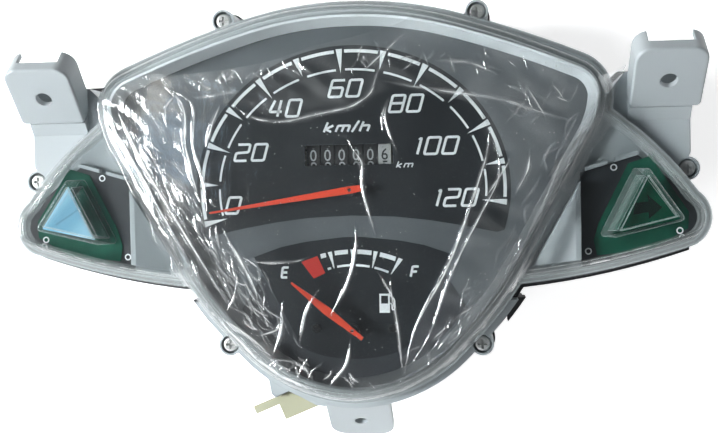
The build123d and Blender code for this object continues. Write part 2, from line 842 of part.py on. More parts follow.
def screw(shank_r, head_r, head_h, length):
    """Pan-head screw with a cross recess; its head stands on the XY plane, its shank points down."""
    with BuildPart() as body:
        with BuildSketch(Plane.XY):
            Circle(head_r)
        extrude(amount=head_h)
        fillet(body.edges().group_by(Axis.Z)[-1], radius=0.4 * head_h)
        with BuildSketch(Plane.XY.offset(head_h)):
            Rectangle(1.2 * head_r, 0.28 * head_r)
            Rectangle(0.28 * head_r, 1.2 * head_r)
        extrude(amount=-0.55 * head_h, mode=Mode.SUBTRACT)
        with BuildSketch(Plane.XY):
            Circle(shank_r)
        extrude(amount=-length)
    return body.part


case_screw = screw(screw_r, screw_head_r, screw_head_h, boss_top - floor_z - wall - 1)
save(
    Compound(children=[Pos(sx, y, boss_top) * case_screw for x, y in boss_places for sx in (x, -x)]),
    "case_screws",
)

frame_screw = screw(frame_screw_r, 2.0, 1.2, 8)
save(Compound(children=[Pos(x, y, frame_z + 1.5) * frame_screw for x, y in frame_posts]), "frame_screws")

tab_screw = screw(frame_screw_r, 2.6, 1.6, cheek_t)
tab_screw_x = [cheek_x[0] - 7, cheek_x[1] + 7]
save(
    Compound(children=[Pos(x, -2, deck_z - cheek_t) * Rot(180, 0, 0) * tab_screw for x in tab_screw_x]),
    "movement_screws",
)

speed_angle = 188.2     # the needle's direction at rest
with BuildPart() as speed_needle:
    with BuildSketch(Plane.XY.offset(needle_z)):
        with BuildLine():
            Polyline((57.4, 0.35), (0, 1.5), (-5.2, 1.2), (-5.2, -1.2), (0, -1.5), (57.4, -0.35), close=True)
        make_face()
        Circle(spindle_r, mode=Mode.SUBTRACT)
    extrude(amount=0.9)
    fillet(speed_needle.edges().filter_by(Axis.Z).group_by(Axis.X)[0], radius=0.8)
save(speed_needle.part.rotate(Axis.Z, speed_angle), "speed_needle")

with BuildPart() as speed_needle_hub:
    with BuildSketch(Plane.XY.offset(dial_z + 1.2)):
        Circle(2.6)
        Circle(spindle_r, mode=Mode.SUBTRACT)
    extrude(amount=needle_z - dial_z - 1.2)
save(speed_needle_hub.part, "speed_needle_hub")

# ======================= odometer =======================

with BuildPart() as cross_shaft:
    with BuildSketch(Plane.XZ.offset(6)):
        with Locations((cross_x, cross_z)):
            Circle(cross_r)
    extrude(amount=-(6 + cross_lugs[1] + 3))
    with BuildSketch(Plane.XZ.offset(-riser_y + 2.6)):
        with Locations((cross_x, cross_z)):
            Circle(cross_worm_r)
    extrude(amount=-5.2)
    add(gear((cross_x, 0, cross_z), (0, 1, 0), cross_gear_r, cross_gear_teeth, 2.0, 0.4))
save(cross_shaft.part, "cross_shaft")

with BuildPart() as riser_shaft:
    with BuildSketch(Plane.XY.offset(cross_z - 2)):
        with Locations((riser_x, riser_y)):
            Circle(cross_r)
    extrude(amount=drum_z + 5 - cross_z + 2)
    with BuildSketch(Plane.XY.offset(drum_z - 3)):
        with Locations((riser_x, riser_y)):
            Circle(riser_worm_r)
    extrude(amount=6)
    add(gear((riser_x, riser_y, cross_z), (0, 0, 1), riser_gear_r, riser_gear_teeth, 2.0, 0.4))
save(riser_shaft.part, "riser_shaft")

with BuildPart() as drum_shaft:
    with BuildSketch(Plane.YZ.offset(cheek_x[0] - cheek_t)):
        with Locations((drum_y, drum_z)):
            Circle(drum_shaft_r)
    extrude(amount=cheek_x[1] - cheek_x[0] + 2 * cheek_t)
save(drum_shaft.part, "drum_shaft")

for index in range(drum_count):
    with BuildPart() as drum:
        with BuildSketch(Plane.YZ.offset(drum_first_x + index * drum_pitch)):
            with Locations((drum_y, drum_z)):
                Circle(drum_r)
                Circle(drum_shaft_r + running, mode=Mode.SUBTRACT)
        extrude(amount=drum_w / 2, both=True)
    save(drum.part, f"odometer_drum_{index + 1}")

drive_gear_centre = (riser_x, drum_y, drum_z)
drive_gear = gear(drive_gear_centre, (1, 0, 0), drive_gear_r, drive_gear_teeth, 1.8, drum_shaft_r + running)
save(drive_gear, "odometer_drive_gear")

with BuildPart() as pinion_shaft:
    with BuildSketch(Plane.YZ.offset(cheek_x[0] - cheek_t)):
        with Locations((pinion_y, drum_z)):
            Circle(pinion_shaft_r)
    extrude(amount=cheek_x[1] - cheek_x[0] + 2 * cheek_t)
save(pinion_shaft.part, "pinion_shaft")

for index in range(drum_count - 1):
    pinion_centre = (drum_first_x + (index + 0.5) * drum_pitch, pinion_y, drum_z)
    pinion = gear(pinion_centre, (1, 0, 0), pinion_r, pinion_teeth, 2.0, pinion_shaft_r + running)
    save(pinion, f"carry_pinion_{index + 1}")

# ======================= fuel gauge =======================

with BuildPart() as fuel_gauge_body:
    # bobbin of the crossed coils, screwed up under the deck
    with BuildSketch(Plane.XY.offset(fuel_body_z)):
        with Locations((0, fuel_y)):
            Circle(11)
    extrude(amount=deck_z - fuel_body_z)
    with BuildSketch(Plane.XY.offset(deck_z - 3)):
        with Locations((0, fuel_y)):
            SlotCenterToCenter(2 * gauge_screw_place[0], 6)
    extrude(amount=3)
    with BuildSketch(Plane.XY.offset(fuel_body_z + 3)):
        with Locations((0, fuel_y)):
            Circle(7)
    extrude(amount=8, mode=Mode.SUBTRACT)
    with BuildSketch(Plane.XY.offset(fuel_body_z + 1)):
        with Locations((0, fuel_y)):
            Circle(spindle_r + running)
    extrude(amount=30, mode=Mode.SUBTRACT)
    with BuildSketch(Plane.XY.offset(deck_z - 3)):
        with Locations(*pair(*gauge_screw_place)):
            Circle(gauge_screw_r)
    extrude(amount=3, mode=Mode.SUBTRACT)
save(fuel_gauge_body.part, "fuel_gauge_body")

with BuildPart() as fuel_rotor:
    with BuildSketch(Plane.XY.offset(fuel_body_z + 4)):
        with Locations((0, fuel_y)):
            Circle(6)
            Circle(spindle_r, mode=Mode.SUBTRACT)
    extrude(amount=6)
save(fuel_rotor.part, "fuel_rotor")

with BuildPart() as fuel_spindle:
    with BuildSketch(Plane.XY.offset(fuel_body_z + 1.2)):
        with Locations((0, fuel_y)):
            Circle(spindle_r)
    extrude(amount=needle_z + 0.4 - fuel_body_z - 1.2)
save(fuel_spindle.part, "fuel_spindle")

fuel_angle = 141.3      # direction of the fuel needle at rest, just below empty
with BuildPart() as fuel_needle:
    with BuildSketch(Plane.XY.offset(needle_z)):
        with BuildLine():
            Polyline((31, 0.3), (13, 1.7), (-5.2, 0.7), (-5.2, -0.7), (13, -1.7), (31, -0.3), close=True)
        make_face()
        Circle(spindle_r, mode=Mode.SUBTRACT)
    extrude(amount=0.9)
save(Pos(0, fuel_y, 0) * fuel_needle.part.rotate(Axis.Z, fuel_angle), "fuel_needle")

with BuildPart() as fuel_needle_hub:
    with BuildSketch(Plane.XY.offset(dial_z + 1.2)):
        with Locations((0, fuel_y)):
            Circle(2.2)
            Circle(spindle_r, mode=Mode.SUBTRACT)
    extrude(amount=needle_z - dial_z - 1.2)
save(fuel_needle_hub.part, "fuel_needle_hub")

gauge_screw = screw(gauge_screw_r, 1.7, 1.0, dial_z - deck_z + 2.5)
save(
    Compound(children=[Pos(x, y, dial_z) * gauge_screw for x, y in pair(*gauge_screw_place)]),
    "gauge_screws",
)

# ======================= connector =======================

connector_place = Pos(*connector_at) * Rot(0, 0, connector_turn)
with BuildPart() as connector_housing:
    Box(18, 14, 11)
    with BuildSketch(Plane.YZ.offset(-9)):
        RectangleRounded(11, 8, 1)
    extrude(amount=11, mode=Mode.SUBTRACT)
    # latch tongue beside the socket's mouth
    with Locations((-14, 2, 4.7)):
        Box(12, 3.5, 1.6)
    fillet(connector_housing.edges().filter_by(Axis.X).group_by(Axis.Z)[-1], radius=0.6)
save(connector_place * connector_housing.part, "connector_housing")

with BuildPart() as terminals:
    with BuildSketch(Plane.YZ.offset(-6)):
        with GridLocations(3, 3.4, 3, 2):
            Rectangle(0.8, 0.5)
    extrude(amount=8)
save(connector_place * terminals.part, "connector_terminals")
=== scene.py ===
import json
import math
import random

import bpy
import numpy as np
from mathutils import Matrix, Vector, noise


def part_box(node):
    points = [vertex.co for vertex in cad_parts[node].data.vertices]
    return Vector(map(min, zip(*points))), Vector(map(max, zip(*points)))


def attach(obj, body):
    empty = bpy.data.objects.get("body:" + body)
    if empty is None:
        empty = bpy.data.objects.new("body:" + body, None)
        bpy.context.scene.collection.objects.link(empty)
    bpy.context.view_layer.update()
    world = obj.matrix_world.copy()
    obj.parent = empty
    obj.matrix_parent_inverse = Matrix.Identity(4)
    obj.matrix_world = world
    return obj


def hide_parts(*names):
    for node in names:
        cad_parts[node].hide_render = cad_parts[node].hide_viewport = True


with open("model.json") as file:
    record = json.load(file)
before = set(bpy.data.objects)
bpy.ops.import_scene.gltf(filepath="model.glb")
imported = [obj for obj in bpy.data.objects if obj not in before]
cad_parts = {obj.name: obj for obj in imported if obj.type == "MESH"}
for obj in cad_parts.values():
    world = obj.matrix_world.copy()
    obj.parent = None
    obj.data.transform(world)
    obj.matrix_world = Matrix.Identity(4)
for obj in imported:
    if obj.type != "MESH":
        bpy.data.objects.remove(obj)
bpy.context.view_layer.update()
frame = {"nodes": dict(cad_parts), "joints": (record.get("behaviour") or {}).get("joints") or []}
nodes = frame["nodes"]
random.seed(11)
MM = 0.001


# ---------------------------------------------------------------- materials
def tree(name):
    """A new material with an empty node tree, and its output."""
    mat = bpy.data.materials.new(name)
    mat.use_nodes = True
    nt = mat.node_tree
    nt.nodes.clear()
    return mat, nt, nt.nodes.new("ShaderNodeOutputMaterial")


def add(nt, kind, **inputs):
    """A node with its inputs set to values or linked to sockets; names starting with _ are node settings."""
    n = nt.nodes.new("ShaderNode" + kind)
    for key, value in inputs.items():
        if key.startswith("_"):
            setattr(n, key[1:], value)
            continue
        by_number = key[0] == "i" and key[1:].isdigit()
        socket = n.inputs[int(key[1:]) if by_number else key.replace("_", " ")]
        if isinstance(value, bpy.types.NodeSocket):
            nt.links.new(value, socket)
        else:
            socket.default_value = value
    return n


def ramp(nt, fac, *stops):
    """A colour ramp; each stop is (place, grey or colour)."""
    n = add(nt, "ValToRGB", Fac=fac)
    elements = n.color_ramp.elements
    while len(elements) < len(stops):
        elements.new(0.5)
    for element, (place, colour) in zip(elements, stops):
        element.position = place
        element.color = (colour, colour, colour, 1) if isinstance(colour, (int, float)) else (*colour, 1)
    return n.outputs["Color"]


def remap(nt, value, source, target, **settings):
    """The value moved from one range to another; a range is (low, high)."""
    n = add(nt, "MapRange", Value=value, **settings)
    n.inputs["From Min"].default_value, n.inputs["From Max"].default_value = source
    n.inputs["To Min"].default_value, n.inputs["To Max"].default_value = target
    return n.outputs["Result"]


def place_of(nt, stretch=(1, 1, 1), turn=0.0):
    """The object's own coordinates, in metres, stretched for grain that runs one way."""
    coords = add(nt, "TexCoord").outputs["Object"]
    mapping = add(nt, "Mapping", Vector=coords)
    mapping.inputs["Scale"].default_value = stretch
    mapping.inputs["Rotation"].default_value = (0, 0, turn)
    return mapping.outputs["Vector"]


def shade(dark, colour):
    return tuple(c * dark for c in colour)


def solid(name, colour, rough=(0.35, 0.5), grain=2500, bump=0.12, patch=45, vary=0.9, bevel=0.25, metal=0.0,
          stretch=(1, 1, 1), coat=0.0, specular=0.5, dust=0.0, scatter=0.0):
    """Moulded plastic, rubber or metal: mottled colour, uneven gloss, fine grain and softened edges."""
    mat, nt, out = tree(name)
    place = place_of(nt, stretch)
    broad = add(nt, "TexNoise", Vector=place, Scale=patch, Detail=3.0).outputs["Fac"]
    fine = add(nt, "TexNoise", Vector=place, Scale=grain, Detail=2.0).outputs["Fac"]
    base = ramp(nt, broad, (0.3, shade(vary, colour)), (0.7, colour))
    if dust:
        specks = add(nt, "TexVoronoi", Vector=place, Scale=900).outputs["Distance"]
        mask = ramp(nt, specks, (0.0, dust), (0.12, 0.0))
        base = add(nt, "MixRGB", Fac=mask, Color1=base, Color2=(0.7, 0.7, 0.68, 1)).outputs["Color"]
    gloss = remap(nt, broad, (0.3, 0.7), rough)
    soft = add(nt, "Bevel", Radius=bevel * MM, _samples=4).outputs["Normal"]
    normal = add(nt, "Bump", Strength=bump, Distance=0.0003, Height=fine, Normal=soft).outputs["Normal"]
    bsdf = add(nt, "BsdfPrincipled", Base_Color=base, Roughness=gloss, Normal=normal)
    bsdf.inputs["Metallic"].default_value = metal
    bsdf.inputs["Specular IOR Level"].default_value = specular
    if coat:
        bsdf.inputs["Coat Weight"].default_value = coat
        bsdf.inputs["Coat Roughness"].default_value = 0.08
    if scatter:
        bsdf.inputs["Subsurface Weight"].default_value = scatter
        bsdf.inputs["Subsurface Radius"].default_value = (1.0, 1.0, 1.0)
        bsdf.inputs["Subsurface Scale"].default_value = 0.0012
    nt.links.new(bsdf.outputs[0], out.inputs["Surface"])
    return mat


def lengthwise(mat, low, high):
    """Painted shade: darkens a material along the object's own Y, for light that falls unevenly along it; low
    and high are (place in metres, colour).
    """
    nt = mat.node_tree
    bsdf = next(n for n in nt.nodes if n.type == "BSDF_PRINCIPLED")
    base = bsdf.inputs["Base Color"].links[0].from_socket
    along = add(nt, "SeparateXYZ", Vector=add(nt, "TexCoord").outputs["Object"]).outputs["Y"]
    share = remap(nt, along, (low[0], high[0]), (0, 1), _interpolation_type="SMOOTHSTEP")
    tint = ramp(nt, share, (0.0, low[1]), (1.0, high[1]))
    mixed = add(nt, "MixRGB", _blend_type="MULTIPLY", Fac=1.0, Color1=base, Color2=tint).outputs["Color"]
    nt.links.new(mixed, bsdf.inputs["Base Color"])
    return mat


def sheen(nt, normal, head_on=0.04, glancing=0.9):
    """How much a clear surface mirrors, by the angle it is seen at, the same from both of its sides."""
    facing = add(nt, "LayerWeight", Blend=0.5, Normal=normal).outputs["Facing"]
    steep = add(nt, "Math", _operation="POWER", i0=facing, i1=5.0).outputs[0]
    return remap(nt, steep, (0, 1), (head_on, glancing))


def clear(name, tint, haze, rough=0.03, rim=0.35, rim_colour=(0.86, 0.9, 0.9), wave=0.02, foot=None,
          edge=0.0, rim_highlight_from=(0.55, 0.98)):
    """Clear plastic: it shows what is behind it, shines by its angle and whitens where seen edge on, a
    painted rim highlight that stands in for the refraction along its rims.

    foot is (low, high, amount): milky below the low level, clear above the high one. edge whitens sharp
    edges with a painted highlight. rim_highlight_from is the range of the angle over which the painted rim
    highlight grows from haze to rim.
    """
    mat, nt, out = tree(name)
    place = place_of(nt)
    swirl = add(nt, "TexNoise", Vector=place, Scale=60, Detail=2.0).outputs["Fac"]
    grease = add(nt, "TexNoise", Vector=place, Scale=350, Detail=4.0).outputs["Fac"]
    soft = add(nt, "Bevel", Radius=0.5 * MM, _samples=4).outputs["Normal"]
    normal = add(nt, "Bump", Strength=wave, Distance=0.002, Height=swirl, Normal=soft).outputs["Normal"]
    see = add(nt, "BsdfTransparent", Color=(*tint, 1)).outputs[0]
    gloss = remap(nt, grease, (0, 1), (rough, rough * 2.5))
    shine = add(nt, "BsdfGlossy", Color=(1, 1, 1, 1), Roughness=gloss, Normal=normal).outputs[0]
    milk_and_highlight = add(nt, "BsdfDiffuse", Color=(*rim_colour, 1)).outputs[0]
    # painted rim highlight: the surface whitens where seen edge on, in place of the refraction along the rims
    side_on = add(nt, "LayerWeight", Blend=0.3, Normal=normal).outputs["Facing"]
    white = remap(nt, side_on, rim_highlight_from, (haze, rim))
    if foot:
        low, high, amount = foot
        level = add(nt, "SeparateXYZ", Vector=add(nt, "TexCoord").outputs["Object"]).outputs["Z"]
        patchy = ramp(nt, swirl, (0.3, 0.75), (0.7, 1.0))
        below = remap(nt, level, (low, high), (amount, 0))
        below = add(nt, "Math", _operation="MULTIPLY", i0=below, i1=patchy).outputs[0]
        white = add(nt, "Math", _operation="MAXIMUM", i0=white, i1=below).outputs[0]
    # painted highlight: sharp edges are whitened
    if edge:
        flat = add(nt, "TexCoord").outputs["Normal"]
        same = add(nt, "VectorMath", _operation="DOT_PRODUCT", i0=soft, i1=flat).outputs["Value"]
        painted_edge_highlight = remap(nt, same, (0.995, 0.85), (0, edge))
        white = add(nt, "Math", _operation="MAXIMUM", i0=white, i1=painted_edge_highlight).outputs[0]
    body = add(nt, "MixShader", Fac=white, i1=see, i2=milk_and_highlight).outputs[0]
    whole = add(nt, "MixShader", Fac=sheen(nt, normal), i1=body, i2=shine).outputs[0]
    nt.links.new(whole, out.inputs["Surface"])
    return mat


def film_material():
    """Crinkled polythene: clear, glossy, milky where it lies in folds, and white along its creases, partly by
    stress-whitening and partly as a painted highlight; the haze carries a painted reflection, and painted
    glints.
    """
    mat, nt, out = tree("film_polythene")
    place = place_of(nt)
    crease = add(nt, "Attribute", _attribute_name="crease").outputs["Fac"]
    haze = add(nt, "Attribute", _attribute_name="haze").outputs["Fac"]
    streak = add(nt, "TexNoise", Vector=place_of(nt, (1, 0.2, 1), 0.5), Scale=420, Detail=4.0).outputs["Fac"]
    cloudy = add(nt, "TexNoise", Vector=place, Scale=120, Detail=4.0).outputs["Fac"]
    height = add(nt, "Math", _operation="ADD", i0=streak, i1=cloudy).outputs[0]
    normal = add(nt, "Bump", Strength=0.14, Distance=0.0012, Height=height).outputs["Normal"]
    veil = ramp(nt, cloudy, (0.35, 0.45), (0.7, 1.0))
    veil = add(nt, "Math", _operation="MULTIPLY", i0=haze, i1=veil).outputs[0]
    # painted glints: small white spots, in patches, stand for light glinting off the film's crinkles
    specks = add(nt, "TexVoronoi", Vector=place, Scale=420).outputs["Distance"]
    specks = ramp(nt, specks, (0.0, 0.6), (0.15, 0.0))
    few = add(nt, "TexNoise", Vector=place, Scale=45, Detail=1.0).outputs["Fac"]
    few = ramp(nt, few, (0.4, 0.0), (0.58, 1.0))
    specks = add(nt, "Math", _operation="MULTIPLY", i0=specks, i1=few).outputs[0]
    white = add(nt, "Math", _operation="MAXIMUM", i0=crease, i1=veil).outputs[0]
    white = add(nt, "Math", _operation="MAXIMUM", i0=white, i1=specks, _use_clamp=True).outputs[0]
    see = add(nt, "BsdfTransparent", Color=(0.97, 0.975, 0.98, 1)).outputs[0]
    milk_and_highlight = add(nt, "BsdfDiffuse", Color=(0.86, 0.88, 0.88, 1), Normal=normal).outputs[0]
    body = add(nt, "MixShader", Fac=white, i1=see, i2=milk_and_highlight).outputs[0]
    shine = add(nt, "BsdfGlossy", Color=(1, 1, 1, 1), Roughness=0.16, Normal=normal).outputs[0]
    whole = add(nt, "MixShader", Fac=sheen(nt, normal, 0.06), i1=body, i2=shine).outputs[0]
    nt.links.new(whole, out.inputs["Surface"])
    return mat


def sky_face():
    """Pale blue face behind the left signal lens, lighter to one corner, with a faint cast streak."""
    mat, nt, out = tree("signal_face_blue")
    place = place_of(nt, (1, 1, 1), 0.6)
    cloud = add(nt, "TexNoise", Vector=place, Scale=90, Detail=3.0).outputs["Fac"]
    wave = add(nt, "TexWave", Vector=place, Scale=14, Distortion=3.0, Detail=2.0).outputs["Fac"]
    both = add(nt, "Math", _operation="MULTIPLY", i0=cloud, i1=wave).outputs[0]
    base = ramp(nt, both, (0.05, (0.2, 0.47, 0.66)), (0.5, (0.36, 0.63, 0.8)))
    bsdf = add(nt, "BsdfPrincipled", Base_Color=base, Roughness=0.3)
    nt.links.new(bsdf.outputs[0], out.inputs["Surface"])
    return mat


def green_sheet(name, low, high):
    """Tinted plastic sheet with faint mottling, dark where nothing lights it from behind."""
    mat, nt, out = tree(name)
    place = place_of(nt)
    cloud = add(nt, "TexNoise", Vector=place, Scale=70, Detail=3.0).outputs["Fac"]
    fine = add(nt, "TexNoise", Vector=place, Scale=1500, Detail=1.0).outputs["Fac"]
    base = ramp(nt, cloud, (0.3, low), (0.7, high))
    normal = add(nt, "Bump", Strength=0.05, Distance=0.0003, Height=fine).outputs["Normal"]
    bsdf = add(nt, "BsdfPrincipled", Base_Color=base, Roughness=0.22, Normal=normal)
    bsdf.inputs["Coat Weight"].default_value = 0.4
    nt.links.new(bsdf.outputs[0], out.inputs["Surface"])
    return mat


MATERIALS = {
    "white_plastic": solid(
        "case_white", (0.36, 0.395, 0.41), rough=(0.38, 0.5), grain=3000, bump=0.05, vary=0.955, bevel=0.5,
        scatter=0.12),
    "black_plastic": solid(
        "housing_black", (0.022, 0.022, 0.025), rough=(0.45, 0.65), grain=2200, bump=0.3, bevel=0.4),
    "seal_rubber": solid("seal_black", (0.02, 0.02, 0.02), rough=(0.6, 0.8), grain=1500, bump=0.25),
    "clear_plastic": clear(
        "lens_clear", (0.965, 0.975, 0.975), 0.003, rim=0.2, foot=(0.0548, 0.0585, 0.22), edge=0.2),
    "film": film_material(),
    # painted shade: the bezel is coloured pale at the top and dark towards the fuel gauge, where less light
    # falls on it
    "grey_plastic": lengthwise(
        solid("bezel_grey", (0.9, 0.95, 0.97), rough=(0.32, 0.45), grain=2600, bump=0.05, bevel=0.3),
        low=(0.005, 0.17), high=(0.05, 1.0)),
    "dial_print": solid(
        "dial_mask_grey", (0.1, 0.112, 0.122), rough=(0.42, 0.55), grain=4000, bump=0.05, vary=0.85,
        bevel=0.1, dust=0.25),
    "plate_grey": solid(
        "signal_plate_grey", (0.022, 0.026, 0.031), rough=(0.35, 0.5), grain=3500, bump=0.06, vary=0.85,
        bevel=0.1),
    "green_filter": green_sheet("filter_green", (0.005, 0.05, 0.032), (0.012, 0.095, 0.062)),
    "pale_lens": clear(
        "signal_lens_pale", (0.95, 0.98, 0.98), 0.03, rim=0.7, edge=0.8, rim_highlight_from=(0.25, 0.75)),
    "green_lens": clear(
        "signal_lens_clear", (0.93, 0.97, 0.96), 0.002, rim=0.45, rim_colour=(0.7, 0.82, 0.8), edge=0.65,
        rim_highlight_from=(0.25, 0.75)),
    "bulb_glass": clear("bulb_glass", (0.95, 0.95, 0.94), 0.02),
    "die_cast": solid(
        "die_cast", (0.52, 0.53, 0.54), rough=(0.4, 0.6), grain=900, bump=0.5, metal=0.85, bevel=0.3),
    "plated_steel": solid(
        "plated_steel", (0.62, 0.62, 0.58), rough=(0.22, 0.4), grain=1800, bump=0.1, metal=1.0,
        stretch=(1, 8, 1)),
    "black_steel": solid(
        "black_steel", (0.03, 0.03, 0.03), rough=(0.3, 0.5), grain=1600, bump=0.2, metal=0.4),
    "brass": solid(
        "brass", (0.72, 0.55, 0.24), rough=(0.2, 0.36), grain=1800, bump=0.1, metal=1.0, stretch=(8, 1, 1)),
    "chrome": solid(
        "chrome", (0.74, 0.75, 0.74), rough=(0.28, 0.45), grain=700, bump=0.15, metal=0.7, vary=0.75,
        bevel=0.25),
    "natural_nylon": solid(
        "nylon_cream", (0.42, 0.42, 0.3), rough=(0.35, 0.5), grain=1800, bump=0.1, bevel=0.4, scatter=0.3),
    "magnet": solid(
        "magnet_grey", (0.13, 0.13, 0.13), rough=(0.5, 0.7), grain=1200, bump=0.4, metal=0.5),
    "aluminium": solid(
        "aluminium", (0.76, 0.76, 0.76), rough=(0.25, 0.4), grain=1800, bump=0.1, metal=1.0,
        stretch=(1, 10, 1)),
    "needle_red": solid(
        "needle_red", (0.82, 0.075, 0.028), rough=(0.35, 0.45), grain=3000, bump=0.04, vary=0.88,
        bevel=0.25, scatter=0.25),
    "drum_black": solid(
        "drum_black", (0.02, 0.02, 0.021), rough=(0.35, 0.5), grain=2500, bump=0.08, bevel=0.3),
    "drum_white": solid(
        "drum_white", (0.42, 0.43, 0.42), rough=(0.35, 0.5), grain=2500, bump=0.08, bevel=0.3),
}


def ink(name, colour, rough=(0.4, 0.5), bump=0.1, vary=0.8, dust=0.0):
    """Printing ink: a thin, slightly uneven layer."""
    return solid(name, colour, rough=rough, grain=4500, bump=bump, vary=vary, bevel=0.05, dust=dust)


print_white = ink("print_white", (0.84, 0.87, 0.88), vary=0.86)
print_red = ink("print_red", (0.7, 0.04, 0.025))
print_black = ink("print_black", (0.012, 0.015, 0.018), rough=(0.32, 0.45), bump=0.04, dust=0.3)
print_grey = ink("print_grey", (0.4, 0.42, 0.42))
print_slate = ink("print_slate", (0.038, 0.041, 0.048), rough=(0.35, 0.5), bump=0.04, vary=0.85)
face_blue = sky_face()
face_green = green_sheet("signal_face_green", (0.0015, 0.04, 0.022), (0.003, 0.075, 0.042))
arrow_dark = green_sheet("signal_arrow_dark", (0.002, 0.012, 0.008), (0.004, 0.018, 0.012))
streak_blue = green_sheet("signal_streak", (0.16, 0.36, 0.5), (0.2, 0.42, 0.56))

seal_pale = solid("seal_pale", (0.26, 0.28, 0.29), rough=(0.5, 0.7), grain=1500, bump=0.2)
for o in nodes.values():
    for s in o.material_slots:
        key = s.material.name.split(".")[0] if s.material else ""
        s.material = seal_pale if o.name == "lens_seal" else MATERIALS[key]


# ---------------------------------------------------------------- flat printed shapes
def piece(name, verts, faces, material, body, smooth=False):
    """A mesh piece from points in millimetres, riding on a body."""
    mesh = bpy.data.meshes.new(name)
    mesh.from_pydata([tuple(c * MM for c in v) for v in verts], [], faces)
    mesh.materials.append(material)
    if smooth:
        mesh.polygons.foreach_set("use_smooth", [True] * len(mesh.polygons))
    mesh.update()
    o = bpy.data.objects.new(name, mesh)
    bpy.context.scene.collection.objects.link(o)
    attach(o, body)
    return o


class Print:
    """Flat shapes in millimetres that are printed in one colour."""

    def __init__(self):
        self.verts, self.faces = [], []

    def polygon(self, points):
        area = sum(a[0] * b[1] - b[0] * a[1] for a, b in zip(points, points[1:] + points[:1]))
        first = len(self.verts)
        self.verts += points if area > 0 else points[::-1]
        self.faces.append(tuple(range(first, first + len(points))))

    def strip(self, left, right, closed=False):
        """Quads between two lines of as many points."""
        n = len(left)
        for i in range(n if closed else n - 1):
            j = (i + 1) % n
            self.polygon([left[i], right[i], right[j], left[j]])

    def stroke(self, points, width, closed=False):
        """A line of even width through the points."""
        left, right, n = [], [], len(points)
        for i, (x, y) in enumerate(points):
            a = points[i - 1] if closed or i else points[0]
            b = points[(i + 1) % n] if closed or i < n - 1 else points[-1]
            dx, dy = b[0] - a[0], b[1] - a[1]
            size = math.hypot(dx, dy) or 1
            left.append((x - dy / size * width / 2, y + dx / size * width / 2))
            right.append((x + dy / size * width / 2, y - dx / size * width / 2))
        self.strip(left, right, closed)

    def make(self, name, z, material, body="case"):
        return piece(name, [(x, y, z) for x, y in self.verts], self.faces, material, body)


def rounded(points, radius, closed=False, steps=4):
    """The line with its corners turned into small curves."""
    out, n = [], len(points)
    for i, p in enumerate(points):
        if not closed and i in (0, n - 1):
            out.append(p)
            continue
        a, b = points[i - 1], points[(i + 1) % n]
        la, lb = math.dist(a, p), math.dist(b, p)
        ra, rb = min(radius, la * 0.49), min(radius, lb * 0.49)
        s = (p[0] + (a[0] - p[0]) * ra / la, p[1] + (a[1] - p[1]) * ra / la)
        e = (p[0] + (b[0] - p[0]) * rb / lb, p[1] + (b[1] - p[1]) * rb / lb)
        for k in range(steps + 1):
            t = k / steps
            out.append(tuple((1 - t) ** 2 * s[c] + 2 * t * (1 - t) * p[c] + t * t * e[c] for c in (0, 1)))
    return out


# Square-shouldered numerals on a box one unit high; each stroke is (closed, points).
DIGIT_W = 0.8
GLYPHS = {
    "0": [(True, [(0, 0), (1, 0), (1, 1), (0, 1)])],
    "1": [(False, [(0.35, 0.86), (0.7, 1), (0.7, 0)])],
    "2": [(False, [(0, 1), (1, 1), (1, 0.52), (0, 0.48), (0, 0), (1, 0)])],
    "4": [(False, [(0.25, 1), (0, 0.3), (1, 0.3)]), (False, [(0.75, 1), (0.75, 0)])],
    "6": [(False, [(1, 1), (0, 1), (0, 0), (1, 0), (1, 0.55), (0.04, 0.55)])],
    "8": [(True, [(0, 0), (1, 0), (1, 1), (0, 1)]), (False, [(0, 0.52), (1, 0.52)])],
    "E": [(False, [(1, 1), (0, 1), (0, 0), (1, 0)]), (False, [(0, 0.5), (0.9, 0.5)])],
    "F": [(False, [(1, 1), (0, 1), (0, 0)]), (False, [(0, 0.5), (0.88, 0.5)])],
    "k": [(False, [(0, 1), (0, 0)]), (False, [(0.9, 0.66), (0.08, 0.3), (0.95, 0)])],
    "m": [(False, [(0, 0), (0, 0.62), (1, 0.62), (1, 0)]), (False, [(0.5, 0.6), (0.5, 0)])],
    "h": [(False, [(0, 1), (0, 0)]), (False, [(0, 0.6), (1, 0.6), (1, 0)])],
    "/": [(False, [(0.1, -0.05), (0.8, 1.1)])],
}


def write(target, text, centre, height, width=DIGIT_W, weight=0.135, slant=0.29, gap=0.3, widths=None):
    """Italic lettering centred on a point."""
    line = height * weight
    cells = [height * (widths or {}).get(c, width * (0.5 if c == "1" else 1)) for c in text]
    x = centre[0] - (sum(cells) + gap * height * (len(text) - 1)) / 2
    for c, cell in zip(text, cells):
        for closed, points in GLYPHS[c]:
            shaped = []
            for px, py in rounded([(p[0] * (cell - line), p[1] * (height - line)) for p in points],
                                  0.1 * height, closed):
                y = py + line / 2 - height / 2
                shaped.append((x + line / 2 + px + slant * y, centre[1] + y))
            target.stroke(shaped, line, closed)
        x += cell + gap * height


def oval(angle, inset):
    """A point of the speedometer scale's oval, that far inside its outer edge."""
    return ((62.0 - inset) * math.cos(angle), (56.4 - inset) * math.sin(angle))


def speed_angle(value):
    return math.radians(-6 + (120 - value) * 1.66)


print_z = 51.05
step_z = 0.05

# black face of the speedometer, of the fuel gauge and the slate field below it
black = Print()
rim = [oval(math.radians(a), -1.6) for a in range(-17, 198, 2)]
low = [(-58, -17.8), (-44.8, -15), (-31, -12.6), (-17.4, -11), (0, -10.3), (17.4, -11), (31, -12.6),
       (44.8, -15), (58, -17.8)]
